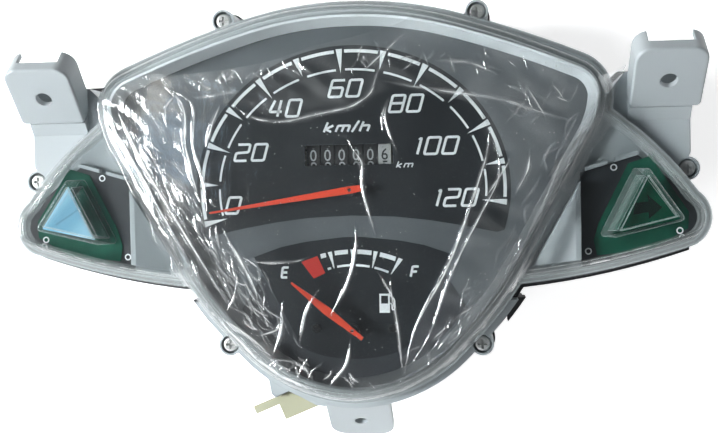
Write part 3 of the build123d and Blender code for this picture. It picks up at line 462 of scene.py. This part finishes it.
# the odometer's window is left open: the outline runs down to it and back at the top
cut_in = len(rim) // 2
hole = [(-0.8, 18.35), (17.2, 18.35), (17.2, 10.05), (-18.8, 10.05), (-18.8, 18.35), (-0.8, 18.35)]
black.polygon(rim[:cut_in + 1] + hole + rim[cut_in:] + low)
half_turn = [math.radians(a) for a in range(0, 181, 10)]
fuel_low = [(-23.5 * math.cos(a), -59.6 - 8.8 * math.sin(a)) for a in half_turn]
fuel_high = [(40.5, -26.6), (29, -22.6), (18.9, -20.6), (4, -19), (-4, -19), (-18.9, -20.6), (-29, -22.6),
             (-40.5, -26.6)]
black.polygon(fuel_low + fuel_high)
black.make("dial_black_fields", print_z, print_black)
slate = Print()
slate.polygon([(-37, -34), (-23.5, -59.6), *fuel_low[1:-1], (23.5, -59.6), (37, -34), (46, -48), (30, -66),
               (14, -75), (0, -76.5), (-14, -75), (-30, -66), (-46, -48)])
slate.make("dial_slate_field", print_z - 0.02, print_slate)

# speedometer scale
scale = Print()
for value in range(0, 120, 10):
    a, b = speed_angle(value) - 0.034, speed_angle(value + 10) + 0.034
    turn = [a + (b - a) * k / 8 for k in range(9)]
    scale.strip([oval(t, 0) for t in turn], [oval(t, 1.3) for t in turn])
    scale.strip([oval(t, 7.6) for t in turn], [oval(t, 8.45) for t in turn])
for value in range(0, 130, 10):
    t = speed_angle(value)
    deep = 9.6 if value % 20 == 0 else 7.4
    tip, half = oval(t, deep), 0.021
    scale.polygon([oval(t - half, -0.3), oval(t + half, -0.3), tip])
for text, at in (("0", (-48.5, -5.4)), ("20", (-40.7, 16)), ("40", (-26.3, 33.5)), ("60", (-1.5, 40.8)),
                 ("80", (22.7, 34.1)), ("100", (34.5, 17)), ("120", (41.9, -3.8))):
    write(scale, text, at, 7.6, gap=0.14)
write(scale, "km/h", (-1.0, 25.4), 4.8, width=0.84, weight=0.19, slant=0.45, gap=0.16,
      widths={"m": 1.2, "/": 0.5})
write(scale, "km", (21.9, 9.8), 2.9, width=0.8, weight=0.17, slant=0.4, gap=0.22, widths={"m": 1.25})
# fuel scale, its letters and the pump sign
write(scale, "E", (-27.8, -33), 5.0, width=0.66, weight=0.19, slant=0.16)
write(scale, "F", (24.9, -33.2), 5.0, width=0.66, weight=0.19, slant=0.22)


def on_arc(x, radius, low_y):
    """A point of a flat arc that is highest at x = 0."""
    return (x, low_y + math.sqrt(radius * radius - x * x))


for x0, x1 in ((-13.2, -11.0), (-7.4, -1.9), (2.0, 7.8), (11.2, 17.6)):
    xs = [x0 + (x1 - x0) * k / 4 for k in range(5)]
    scale.strip([on_arc(x, 50, -74.0) for x in xs], [on_arc(x * 0.97, 48.2, -74.0) for x in xs])
for x0, x1 in ((-10.4, -9.0), (-6.5, -1.0), (1.3, 6.9), (8.9, 14.6)):
    xs = [x0 + (x1 - x0) * k / 4 for k in range(5)]
    scale.strip([on_arc(x, 36.6, -66.5) for x in xs], [on_arc(x * 0.97, 35.7, -66.5) for x in xs])
for x_out, x_in in ((-9.3, -7.6), (0.0, 0.2), (9.4, 7.9), (19.4, 15.4)):
    o1, o2, tip = on_arc(x_out - 0.85, 50, -74), on_arc(x_out + 0.85, 50, -74), on_arc(x_in, 35.8, -66.5)
    scale.polygon([o1, o2, (tip[0] + 0.15, tip[1]), (tip[0] - 0.15, tip[1])])
scale.strip([(10.5, -49.7), (14.7, -49.7), (14.7, -42), (10.5, -42)],
            [(11.2, -46), (14.0, -46), (14.0, -42.8), (11.2, -42.8)], closed=True)
pump_hose = [(14.8, -42.6), (16.6, -44.4), (16.8, -48.2), (15.6, -48.6), (15.5, -46.2), (14.8, -45.8)]
scale.stroke(rounded(pump_hose, 0.6), 0.5)
scale.make("dial_white_print", print_z + step_z, print_white)
red = Print()
red.polygon([(-21.0, -28.8), (-14.4, -26.5), (-11.3, -33.4), (-16.0, -35.6)])
red.make("dial_red_print", print_z + step_z, print_red)

# small ring marks on the signal plates
ring_z = 51.6
rings = Print()
for x, y in ((103.4, 6.8), (128.3, -18.3), (93.3, -25.9)):
    for side in (-1, 1):
        circle = [math.radians(a) for a in range(0, 360, 15)]
        rings.strip([(side * x + 1.35 * math.cos(a), y + 1.35 * math.sin(a)) for a in circle],
                    [(side * x + 0.85 * math.cos(a), y + 0.85 * math.sin(a)) for a in circle], closed=True)
rings.make("signal_plate_rings", ring_z, print_white)

# faces behind the signal lenses, and the arrow on the right one
face_z = 57.5
arrow_z = 57.56
corners = [(115.7, 3.9), (127.3, -13.6), (104.8, -18.4)]
for side, hand, material in ((-1, "left", face_blue), (1, "right", face_green)):
    face = Print()
    face.polygon(rounded([(side * x, y) for x, y in corners], 0.8, closed=True))
    face.make(f"{hand}_signal_face", face_z, material)
arrow = Print()
arrow.polygon([(110.2, -7.2), (115.4, -6.6), (115.0, -3.9), (120.6, -9.0), (115.6, -13.4), (115.4, -10.8),
               (109.6, -11.6)])
arrow.make("right_signal_arrow", arrow_z, arrow_dark)
streak = Print()
streak.polygon([(-121.6, -11.6), (-121.2, -12.2), (-110.6, -5.6), (-111.0, -5.0)])
streak.make("left_signal_arrow_edge", arrow_z, streak_blue)


# ---------------------------------------------------------------- odometer figures
drum_y, drum_z, drum_r = 14.2, 41.4, 8.04
figure_height = 4.7
axis_sign = {j["child"]: 1 if j["axis"][0] > 0 else -1 for j in frame["joints"]}


def figure_mesh(text, height):
    """A numeral as a flat mesh, centred, in millimetres."""
    curve = bpy.data.curves.new("figure", "FONT")
    curve.body = text
    curve.size = 1.0
    curve.resolution_u = 3
    curve.offset = 0.004
    holder = bpy.data.objects.new("figure", curve)
    mesh = bpy.data.meshes.new_from_object(holder)
    bpy.data.objects.remove(holder)
    co = np.array([v.co for v in mesh.vertices])[:, :2]
    lo, hi = co.min(0), co.max(0)
    co = (co - (lo + hi) / 2) * height / (hi[1] - lo[1])
    co[:, 0] *= 0.92
    return co, [tuple(p.vertices) for p in mesh.polygons]


figures = [figure_mesh(str(d), figure_height) for d in range(10)]
for index in range(6):
    lo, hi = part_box(f"odometer_drum_{index + 1}")
    middle = (lo.x + hi.x) / 2 / MM
    shown = 6 if index == 5 else 0
    verts, faces = [], []
    for d, (co, polys) in enumerate(figures):
        base = math.radians(36 * (d - shown)) * axis_sign.get(f"drum_{index + 1}", 1)
        first = len(verts)
        for x, y in co:
            a = base + y / drum_r
            verts.append((middle + x, drum_y + drum_r * math.sin(a), drum_z + drum_r * math.cos(a)))
        faces += [tuple(first + i for i in p) for p in polys]
    piece(f"odometer_figures_{index + 1}", verts, faces, print_black if index == 5 else print_grey,
          f"drum_{index + 1}")


# ---------------------------------------------------------------- protective film
dome_r, dome_top = 560.0, 74.0


def arc3(a, b, c, n=24):
    """Points of the circle's arc from a through b to c, without c itself."""
    ax, ay, bx, by, cx, cy = *a, *b, *c
    d = 2 * (ax * (by - cy) + bx * (cy - ay) + cx * (ay - by))
    aa, bb, cc = ax * ax + ay * ay, bx * bx + by * by, cx * cx + cy * cy
    ux = (aa * (by - cy) + bb * (cy - ay) + cc * (ay - by)) / d
    uy = (aa * (cx - bx) + bb * (ax - cx) + cc * (bx - ax)) / d
    r = math.hypot(ax - ux, ay - uy)
    t0, t2 = math.atan2(ay - uy, ax - ux), math.atan2(cy - uy, cx - ux)
    turn = (t2 - t0 + math.pi) % (2 * math.pi) - math.pi
    return [(ux + r * math.cos(t0 + turn * k / n), uy + r * math.sin(t0 + turn * k / n)) for k in range(n)]


def window_outline(count):
    """The middle window's outline, evenly spaced clockwise from the top, and its outward normals."""
    half = (arc3((0, 75.2), (20.5, 73.9), (40, 70)) + arc3((40, 70), (66.5, 61.6), (92, 51.6))
            + arc3((92, 51.6), (100.3, 45), (103.5, 35.5)) + arc3((103.5, 35.5), (101.8, 25.5), (97.5, 16))
            + [(97.5, 16)] + arc3((69.5, -34), (59.3, -49), (46.6, -63.2))
            + arc3((46.6, -63.2), (25.8, -79.4), (0, -85.8)) + [(0, -85.8)])
    line = np.array(half + [(-x, y) for x, y in half[-2:0:-1]])
    closed = np.vstack([line, line[:1]])
    along = np.concatenate([[0], np.cumsum(np.linalg.norm(np.diff(closed, axis=0), axis=1))])
    at = np.linspace(0, along[-1], count, endpoint=False)
    even = np.stack([np.interp(at, along, closed[:, k]) for k in (0, 1)], axis=1)
    tangent = np.roll(even, -3, axis=0) - np.roll(even, 3, axis=0)
    normal = np.stack([-tangent[:, 1], tangent[:, 0]], axis=1)
    for _ in range(6):
        normal = (np.roll(normal, 1, axis=0) + normal + np.roll(normal, -1, axis=0)) / 3
    normal /= np.linalg.norm(normal, axis=1)[:, None]
    return even, normal


def smooth_line(points, steps=6):
    """A soft curve through given points."""
    if len(points) < 3:
        return np.array(points, float)
    p = np.array([points[0], *points, points[-1]], float)
    out = []
    for i in range(1, len(p) - 2):
        for k in range(steps):
            t = k / steps
            out.append(0.5 * (2 * p[i] + (p[i + 1] - p[i - 1]) * t
                              + (2 * p[i - 1] - 5 * p[i] + 4 * p[i + 1] - p[i + 2]) * t * t
                              + (3 * p[i] - p[i - 1] - 3 * p[i + 1] + p[i + 2]) * t ** 3))
    return np.array(out + [p[-2]])


def line_distance(points, line):
    """How far each point is from a line."""
    best = np.full(len(points), np.inf)
    for a, b in zip(line[:-1], line[1:]):
        d = b - a
        t = np.clip((points - a) @ d / (d @ d + 1e-12), 0, 1)
        best = np.minimum(best, np.linalg.norm(points - a - t[:, None] * d, axis=1))
    return best


def field(points, size, seed, stretch=1.0, turn=0.0):
    """Smooth noise over the points, from about -1 to 1."""
    c, s = math.cos(turn), math.sin(turn)
    return np.array([noise.noise(((x * c + y * s) / size, (y * c - x * s) / size / stretch, seed))
                     for x, y in points]) * 1.6


def inside(points, polygon):
    """Which points lie inside a polygon."""
    hit = np.zeros(len(points), bool)
    for (x0, y0), (x1, y1) in zip(polygon, polygon[1:] + polygon[:1]):
        cross = (y0 > points[:, 1]) != (y1 > points[:, 1])
        with np.errstate(divide="ignore", invalid="ignore"):
            at = (x1 - x0) * (points[:, 1] - y0) / (y1 - y0) + x0
        hit ^= cross & (points[:, 0] < at)
    return hit


# Creases of the film, each as its line in millimetres, its height, its half width and how white it is, the
# white being partly stress-whitening and partly a painted highlight on the crest.
CREASES = [
    ([(-43, 34), (-36, 29), (-28, 27), (-20, 27), (-10, 29), (1, 31), (6, 33), (11, 37), (13, 43), (16, 50)],
     1.3, 2.6, 0.6),
    ([(1, 30), (13, 29)], 0.6, 1.5, 0.5), ([(24, 59), (15, 51), (7, 44)], 0.9, 1.8, 0.6),
    ([(18, 38), (10, 30)], 0.6, 1.3, 0.55), ([(17, 34), (15, 28), (15, 21)], 0.7, 1.4, 0.7),
    ([(18, 35), (16, 28), (18, 20), (21, 13)], 0.8, 1.5, 0.7),
    ([(1, 21), (4, 15), (7, 10), (7, 2), (8, -4), (12, -19)], 1.0, 1.8, 0.85),
    ([(3, 0), (3, -11)], 0.6, 1.2, 0.6), ([(8, 21), (10, 12)], 0.5, 1.2, 0.6),
    ([(-24, 49), (-32, 33)], 1.1, 2.4, 0.9), ([(-35, 44), (-34, 31)], 0.8, 2.0, 0.75),
    ([(-17, 49), (-21, 41)], 0.6, 1.6, 0.6), ([(0, 44), (7, 35)], 0.7, 1.4, 0.55),
    ([(52, 28), (55, 22), (54, 13), (51, 3), (45, -14), (38, -31), (26, -53), (21, -73)], 1.5, 2.2, 1.0),
    ([(53, 24), (58, 13), (58, 3), (52, -9), (44, -24), (38, -37), (35, -46), (30, -58), (22, -70)],
     1.1, 1.8, 0.8),
    ([(30, 46), (26, 39)], 0.6, 1.4, 0.6),
    ([(15, 41), (30, 38), (59, 33), (74, 28), (93, 22)], 1.4, 3.0, 0.45),
    ([(35, 48), (48, 47), (59, 42)], 0.8, 2.0, 0.5), ([(68, 47), (59, 34)], 0.9, 1.8, 0.7),
    ([(55, 39), (58, 33)], 0.5, 1.3, 0.5), ([(69, 38), (75, 28), (77, 24)], 0.8, 1.6, 0.6),
    ([(70, 14), (69, 6), (64, -3)], 1.0, 1.8, 0.9), ([(63, 11), (58, 3), (53, -4)], 0.8, 1.6, 0.8),
    ([(99, 38), (91, 24), (86, 14)], 1.0, 2.4, 0.4),
    ([(88, 20), (81, 8), (76, -4), (66, -24)], 1.0, 2.6, 0.4),
    ([(4, -12), (4, -22), (1, -34), (-7, -49)], 1.1, 1.8, 0.85),
    ([(-11, -38), (-16, -47), (-19, -59)], 1.0, 1.8, 0.9), ([(1, -57), (-1, -67), (-9, -77)], 1.0, 1.8, 0.9),
    ([(12, -31), (17, -40), (17, -44)], 0.6, 1.3, 0.7),
    ([(17, -32), (17, -39), (19, -51), (21, -72)], 0.9, 1.6, 0.8),
    ([(-48, -14), (-42, -25), (-36, -37), (-34, -47)], 1.2, 2.2, 0.85),
    ([(-25, -42), (-26, -54), (-30, -64)], 0.9, 1.8, 0.8),
    ([(-28, -47), (-27, -53), (-36, -56)], 0.8, 1.6, 0.8),
    ([(-51, -48), (-39, -56), (-30, -64)], 0.9, 2.0, 0.8), ([(-45, -28), (-42, -40)], 0.8, 1.8, 0.8),
    ([(-29, -33), (-29, -45)], 0.6, 1.3, 0.7), ([(52, -32), (43, -50)], 0.7, 1.5, 0.7),
    ([(58, -21), (50, -30)], 0.6, 1.4, 0.7), ([(33, -68), (22, -74), (17, -77)], 0.8, 1.8, 0.6),
    ([(-36, -25), (-34, -27), (-20, -27), (-14, -25)], 0.7, 1.5, 0.5),
    ([(-31, -65), (-19, -67), (-14, -74)], 0.8, 2.2, 0.6), ([(4, -21), (5, -30)], 0.4, 1.1, 0.5),
    ([(5, -34), (8, -43)], 0.5, 1.1, 0.6),
    ([(-71, 42), (-65, 37), (-62, 30), (-62, 19), (-58, 1), (-54, -8)], 1.8, 2.6, 1.0),
    ([(-67, 40), (-59, 34), (-59, 19), (-55, 4), (-54, -8)], 1.0, 1.8, 0.85),
    ([(-66, 38), (-70, 34), (-70, 26)], 0.8, 1.5, 0.8), ([(-48, 34), (-51, 27), (-54, 18)], 1.0, 2.2, 0.8),
    ([(-59, 38), (-57, 37), (-40, 39)], 0.7, 1.8, 0.6),
    ([(-94, 40), (-96, 35), (-92, 26), (-86, 16), (-80, 6), (-72, -9), (-60, -30)], 0.9, 1.8, 0.8),
    ([(-91, 34), (-85, 22), (-79, 10), (-68, -8), (-56, -28), (-46, -45)], 1.5, 2.6, 1.0),
]
# The film lies close and clear over the dials inside this line, and in loose folds outside it.
CALM = [(-57, 35), (-43, 33), (-20, 26), (6, 31), (20, 38), (40, 36), (51, 28), (54, 10), (45, -14),
        (26, -53), (20, -70), (-8, -76), (-22, -66), (-30, -52), (-36, -38), (-44, -20), (-52, -6), (-58, 14)]
# Where the film ends short of the rim, at its upper left.
CUT = [(-120, 36), (-94, 40.5), (-79, 46.6), (-66, 46.2), (-54, 46.8), (-40, 48.2), (-30, 49.6), (-20, 52),
       (-12, 55), (-2, 57), (11, 59.8), (24, 64), (32, 72), (40, 90)]


def short_creases():
    """Many small creases where the film is loose: along both lower edges and in the band above the dials."""
    out = []
    for count, low, high, run, spread, length in (
        (95, (-64, -2), (-30, -58), 4.5, 9.0, (4, 16)), (45, (-84, 20), (-60, -12), 5.0, 5.0, (4, 15)),
        (40, (94, 24), (58, -34), 5.0, 7.0, (6, 20)), (26, (54, -36), (28, -66), 4.0, 4.0, (4, 12)),
        (28, (-60, 43), (-14, 47), 2.4, 3.2, (3, 8)), (26, (-6, 50), (70, 46), 4.0, 3.6, (3, 9)),
        (22, (60, 30), (90, 34), 5.0, 5.0, (4, 11)), (26, (-30, -66), (24, -78), 2.5, 2.5, (4, 10)),
    ):
        for _ in range(count):
            t = random.random()
            x = low[0] + (high[0] - low[0]) * t + random.gauss(0, spread * 0.6)
            y = low[1] + (high[1] - low[1]) * t + random.gauss(0, run * 0.5)
            way = math.atan2(high[1] - low[1], high[0] - low[0])
            if abs(high[1] - low[1]) < 15:
                way += random.choice((-1, 1)) * random.uniform(0.4, 1.3)
            way += random.gauss(0, 0.16)
            size = random.uniform(*length)
            bend = random.gauss(0, 0.12) * size
            dx, dy = math.cos(way), math.sin(way)
            line = [(x - dx * size / 2, y - dy * size / 2), (x - dy * bend, y + dx * bend),
                    (x + dx * size / 2, y + dy * size / 2)]
            out.append((line, random.uniform(0.3, 0.8), random.uniform(0.5, 1.5), random.uniform(0.12, 0.5)))
    return out


def film_level(flat):
    """Height of the film over the dome without its creases, and how loosely it lies there."""
    dome = dome_top - dome_r + np.sqrt(dome_r ** 2 - (flat ** 2).sum(1))
    away = line_distance(flat, np.array(CALM + CALM[:1], float))
    slack = np.where(inside(flat, CALM), 0, np.clip(away / 5, 0, 1))
    wave = np.abs(field(flat, 9, 1.0, 2.5, 1.05) * 0.5 + field(flat, 4, 2.0, 2.0, 0.9) * 0.3)
    lift = 0.12 + slack * (0.4 + 0.7 * wave) + 0.1 * (1 + field(flat, 6, 5.0))
    return dome + lift, dome, slack


# Across a crease from one foot to the other: place, rise, whiteness; the whiteness is partly stress-whitening
# and partly a painted highlight on the crest.
RIDGE = [(-1, 0, 0), (-0.5, 0.28, 0.06), (-0.2, 0.75, 0.35), (0, 1, 1), (0.16, 0.8, 0.45),
         (0.5, 0.25, 0.08), (1, 0, 0)]


def crease_ridge(points, tall, wide, bright, border):
    """A raised fold along a line, tapered to nothing at both ends: its points, whiteness and faces."""
    curve = smooth_line(points, 8)
    kept = inside(curve, border)
    if kept.sum() < 3:
        return None
    curve = curve[kept]
    along = np.concatenate([[0], np.cumsum(np.linalg.norm(np.diff(curve, axis=0), axis=1))])
    if along[-1] < 2:
        return None
    n = max(8, int(along[-1] / 0.8))
    at = np.linspace(0, along[-1], n)
    line = np.stack([np.interp(at, along, curve[:, k]) for k in (0, 1)], axis=1)
    line[1:-1] = (line[:-2] + line[1:-1] + line[2:]) / 3
    tangent = np.gradient(line, axis=0)
    across = np.stack([-tangent[:, 1], tangent[:, 0]], axis=1)
    across /= np.linalg.norm(across, axis=1)[:, None] + 1e-9
    t = np.linspace(0, 1, n)
    taper = np.clip(np.minimum(t, 1 - t) * 3.2, 0, 1) ** 0.8
    ripple = 1 + 0.3 * field(line, 7, 21.0 + points[0][0])
    half = wide * (0.1 + 0.9 * taper) * np.clip(ripple, 0.6, 1.4)
    # partly painted highlight: the crest's whiteness stands for stress-whitening and for the light the crest
    # catches
    glow = bright * taper * np.clip(0.8 + 0.5 * field(line, 5, 31.0 + points[0][1]), 0.3, 1.2)
    flat = np.vstack([line + across * (half * place)[:, None] for place, _, _ in RIDGE])
    level, _, _ = film_level(flat)
    rise = np.concatenate([tall * taper * up + 0.05 for _, up, _ in RIDGE])
    white = np.concatenate([glow * share for _, _, share in RIDGE])
    faces = [(c * n + i, c * n + i + 1, (c + 1) * n + i + 1, (c + 1) * n + i)
             for c in range(len(RIDGE) - 1) for i in range(n - 1)]
    return np.column_stack([flat, level + rise]), white, faces


WING_FACE, FLANGE_FACE = 62.3, 54.5     # what the film rests on outside the rim, in millimetres
RIM_R = 3.5                             # roundness of the film over the rim
FILM_CENTRE = np.array([0.0, -6.0])


def film_reach(inner):
    """How far towards each inner point the film goes, from 0 to 1, and where it stops at its cut edge."""
    reach, cut = np.ones(len(inner)), np.zeros(len(inner), bool)
    line = smooth_line(CUT, 4)
    for a, b in zip(line[:-1], line[1:]):
        d, e = inner - FILM_CENTRE, b - a
        den = d[:, 0] * e[1] - d[:, 1] * e[0]
        den[np.abs(den) < 1e-9] = 1e-9
        w = a - FILM_CENTRE
        t = (w[0] * e[1] - w[1] * e[0]) / den
        u = (w[0] * d[:, 1] - w[1] * d[:, 0]) / den
        hit = (u >= 0) & (u <= 1) & (t > 0) & (t < reach)
        reach[hit], cut[hit] = t[hit], True
    return reach, cut


def rim_rows(edge, out_dir, rim_top):
    """Rows of film over the rim and down its side, or out over the wing window."""
    wing = (np.abs(edge[:, 0]) > 58) & (edge[:, 1] < 40) & (edge[:, 1] > -38)
    floor = np.where(wing, WING_FACE + 0.45, FLANGE_FACE + 0.6)
    flare = np.clip(1.6 + 2.2 * field(edge, 14, 3.0) + 1.2 * field(edge, 4, 4.0), 0.4, 5.0)
    flare = np.where(wing, flare + 1.2, np.minimum(flare, 1.6))
    rows = []
    for k in range(1, 6):
        a = math.radians(18 * k)
        at = edge - out_dir * (2 * RIM_R - RIM_R * math.sin(a))
        rows.append((at, rim_top - 3 * (1 - math.cos(a)) + 0.5, 0.5))
    for out, down in ((0.15, 1.5), (0.4, 3.5), (0.75, 5.5), (1.0, 7.0)):
        rows.append((edge - out_dir * RIM_R + out_dir * (flare * out)[:, None], rim_top - 2.5 - down, 0.8))
    crinkle = np.abs(field(edge, 3, 9.0)) * 0.35
    return [np.column_stack([at, np.maximum(z + crinkle * level, floor)]) for at, z, level in rows]


def twisted_corner(n):
    """The corner of the film that stands out at the right end, as a grid of n by n faces."""
    points = []
    for i in range(n + 1):
        for k in range(n + 1):
            s, t = i / n, (k / n - 0.5) * (1 - 0.92 * i / n)
            x = 97.5 + 9.0 * s ** 0.9 + 2.5 * t
            y = 38.0 + 7.2 * s ** 1.4 - 7.5 * t
            curl = 1.3 * math.sin(5 * t) * (1 - s) + 0.8 * math.cos(9 * t + 3 * s)
            points.append((x, y, 64.4 + 2.4 * s + curl))
    faces = [(i * (n + 1) + k, (i + 1) * (n + 1) + k, (i + 1) * (n + 1) + k + 1, i * (n + 1) + k + 1)
             for i in range(n) for k in range(n)]
    return np.array(points), faces


def make_film():
    """The film: a sheet over the dome, its rows over the rim, its pinched folds and its twisted corner."""
    count, rings_in = 560, 84
    edge, out_dir = window_outline(count)
    inner = edge - out_dir * 2 * RIM_R
    reach, cut = film_reach(inner)
    bare = cut | ((edge[:, 1] > 43) & (edge[:, 0] > 0))
    end = FILM_CENTRE + (inner - FILM_CENTRE) * reach[:, None]
    share = np.linspace(0, 1, rings_in + 1)[1:] ** 0.9
    flat = np.vstack([FILM_CENTRE[None], *[FILM_CENTRE + (end - FILM_CENTRE) * s for s in share]])
    top, dome, slack = film_level(flat)
    # painted reflection: the haze on loose film grows towards the left, where it mirrors the window light
    left = np.clip((-flat[:, 0] - 10) / 50, 0, 1)
    doubled = np.exp(-((flat[:, 0] - 76) / 24) ** 2 - ((flat[:, 1] - 36) / 14) ** 2)
    cloud = np.clip(0.6 + 0.7 * field(flat, 5, 7.0, 3.0, 1.0), 0.2, 1.4)
    verts = [np.column_stack([flat, top])]
    crease = [np.zeros(len(flat))]
    veil = [np.clip(0.006 + slack * (0.075 + 0.07 * left + 0.11 * doubled) * cloud, 0, 0.6)]
    last = len(flat) - count
    rows = rim_rows(edge, out_dir, dome[last:])
    for row in rows:
        verts.append(row)
        # painted highlight: the fine wrinkles over the rim are whitened where they catch the light
        crease.append(np.clip(0.14 * field(row[:, :2], 2.5, 12.0, 4.0, 0.9), 0, 0.4))
        veil.append(np.full(count, 0.05))
    faces = [(0, 1 + j, 1 + (j + 1) % count) for j in range(count)]
    for ring in range(rings_in - 1):
        a, b = 1 + ring * count, 1 + (ring + 1) * count
        faces += [(a + j, b + j, b + (j + 1) % count, a + (j + 1) % count) for j in range(count)]
    for ring in range(len(rows)):
        a, b = last + ring * count, last + (ring + 1) * count
        faces += [(a + j, b + j, b + (j + 1) % count, a + (j + 1) % count)
                  for j in range(count) if not bare[j] and not bare[(j + 1) % count]]
    first = sum(len(v) for v in verts)
    border = [tuple(p) for p in end]
    for points, tall, wide, bright in CREASES + short_creases():
        fold = crease_ridge(points, tall * 0.5, wide * 0.72, bright, border)
        if fold is None:
            continue
        verts.append(fold[0])
        crease.append(fold[1])
        veil.append(np.full(len(fold[0]), 0.02))
        faces += [tuple(first + i for i in f) for f in fold[2]]
        first += len(fold[0])
    flap, flap_faces = twisted_corner(8)
    verts.append(flap)
    faces += [tuple(first + i for i in f) for f in flap_faces]
    crease.append(np.full(len(flap), 0.12))
    veil.append(np.full(len(flap), 0.35))
    points = np.vstack(verts)
    used = sorted({i for f in faces for i in f})
    index = {old: new for new, old in enumerate(used)}
    o = piece("protective_film_sheet", points[used].tolist(), [tuple(index[i] for i in f) for f in faces],
              MATERIALS["film"], "case", smooth=True)
    for name, values in (("crease", crease), ("haze", veil)):
        attribute = o.data.attributes.new(name, "FLOAT", "POINT")
        attribute.data.foreach_set("value", np.concatenate(values)[used].astype(np.float32))
    return o


film = make_film()
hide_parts("protective_film")

# ---------------------------------------------------------------- camera, floor and light
scene = bpy.context.scene
camera = bpy.data.objects.new("camera", bpy.data.cameras.new("camera"))
scene.collection.objects.link(camera)
camera.data.sensor_width = 36.0
camera.data.lens = 50.14
camera.data.clip_start, camera.data.clip_end = 0.01, 20
yaw, pitch, roll = (math.radians(a) for a in (6.26, -1.84, -1.15))
turn = Matrix.Rotation(-roll, 4, "Z") @ Matrix.Rotation(-pitch, 4, "X") @ Matrix.Rotation(-yaw, 4, "Y")
camera.matrix_world = Matrix.Translation((0.04676, 0.00097, 0.45106)) @ turn.transposed()
scene.camera = camera

floor_mesh = bpy.data.meshes.new("floor")
floor_mesh.from_pydata([(-3, -3, 0), (3, -3, 0), (3, 3, 0), (-3, 3, 0)], [], [(0, 1, 2, 3)])
floor_pale = solid("floor_pale", (0.9, 0.9, 0.9), rough=(0.7, 0.9), grain=300, bump=0.02, patch=3, vary=0.99)
for shader in floor_pale.node_tree.nodes:
    if shader.type == "BSDF_PRINCIPLED":
        # a light table: it glows a little, so the part throws hardly any shadow on it
        shader.inputs["Emission Color"].default_value = (1, 1, 1, 1)
        shader.inputs["Emission Strength"].default_value = 0.72
floor_mesh.materials.append(floor_pale)
floor_obj = bpy.data.objects.new("floor", floor_mesh)
floor_obj.location.z = -0.0003
scene.collection.objects.link(floor_obj)

world = bpy.data.worlds.new("studio")
world.use_nodes = True
scene.world = world
wt = world.node_tree
wt.nodes.clear()
w_out = wt.nodes.new("ShaderNodeOutputWorld")
direction = add(wt, "TexCoord").outputs["Generated"]
split = add(wt, "SeparateXYZ", Vector=direction)
# bright round the horizon, dark overhead; brighter from the left and the front
level = ramp(wt, split.outputs["Z"], (0.0, (1.0, 1.02, 1.04)), (0.55, (0.85, 0.87, 0.89)),
             (0.75, (0.1, 0.11, 0.12)), (1.0, (0.08, 0.09, 0.1)))
sides = remap(wt, split.outputs["X"], (-1, 1), (0.85, 0.06))
ends = remap(wt, split.outputs["Y"], (-1, 1), (1.35, 0.45))
strength = add(wt, "Math", _operation="MULTIPLY", i0=sides, i1=ends).outputs[0]
background = add(wt, "Background", Color=level, Strength=strength)
wt.links.new(background.outputs[0], w_out.inputs["Surface"])


def softbox(name, place, size, target, colour, radiance, spread=180):
    """A soft rectangular light that faces a point; a spread under 180 degrees keeps its beam together."""
    data = bpy.data.lights.new(name, "AREA")
    data.shape = "RECTANGLE"
    data.size, data.size_y = size
    data.color = colour
    data.spread = math.radians(spread)
    data.energy = radiance * math.pi * size[0] * size[1]
    o = bpy.data.objects.new(name, data)
    scene.collection.objects.link(o)
    from_to = Matrix.Translation(place).to_translation() - Matrix.Translation(target).to_translation()
    o.matrix_world = Matrix.Translation(place) @ from_to.to_track_quat("Z", "Y").to_matrix().to_4x4()
    return o


softbox("window_sky", (-0.70, 0.14, 1.09), (0.2, 0.2), (-0.07, 0.02, 0.07), (0.5, 0.74, 1.0), 1.5)
softbox("window_upper", (-0.72, 0.29, 1.04), (0.12, 0.07), (-0.07, 0.02, 0.07), (1.0, 0.9, 0.76), 2.4)
softbox("window_lower", (-0.67, -0.02, 1.09), (0.12, 0.07), (-0.07, 0.02, 0.07), (1.0, 0.95, 0.88), 2.2)
softbox("key_left", (-0.95, 0.0, 0.66), (0.5, 0.5), (-0.2, 0, 0.05), (0.96, 0.99, 1.0), 2.2, 30)
softbox("fill_back", (0.2, 1.3, 1.25), (1.0, 0.5), (0, 0, 0.05), (1.0, 1.0, 1.0), 0.5)
softbox("fill_right", (1.35, -0.2, 1.15), (0.5, 0.7), (0, 0, 0.05), (1.0, 0.99, 0.97), 0.7)
softbox("fill_front", (-0.75, -1.0, 0.9), (0.7, 0.5), (-0.05, 0, 0.05), (0.98, 0.99, 1.0), 7.0)

scene.view_settings.view_transform = "Standard"
scene.view_settings.look = "None"
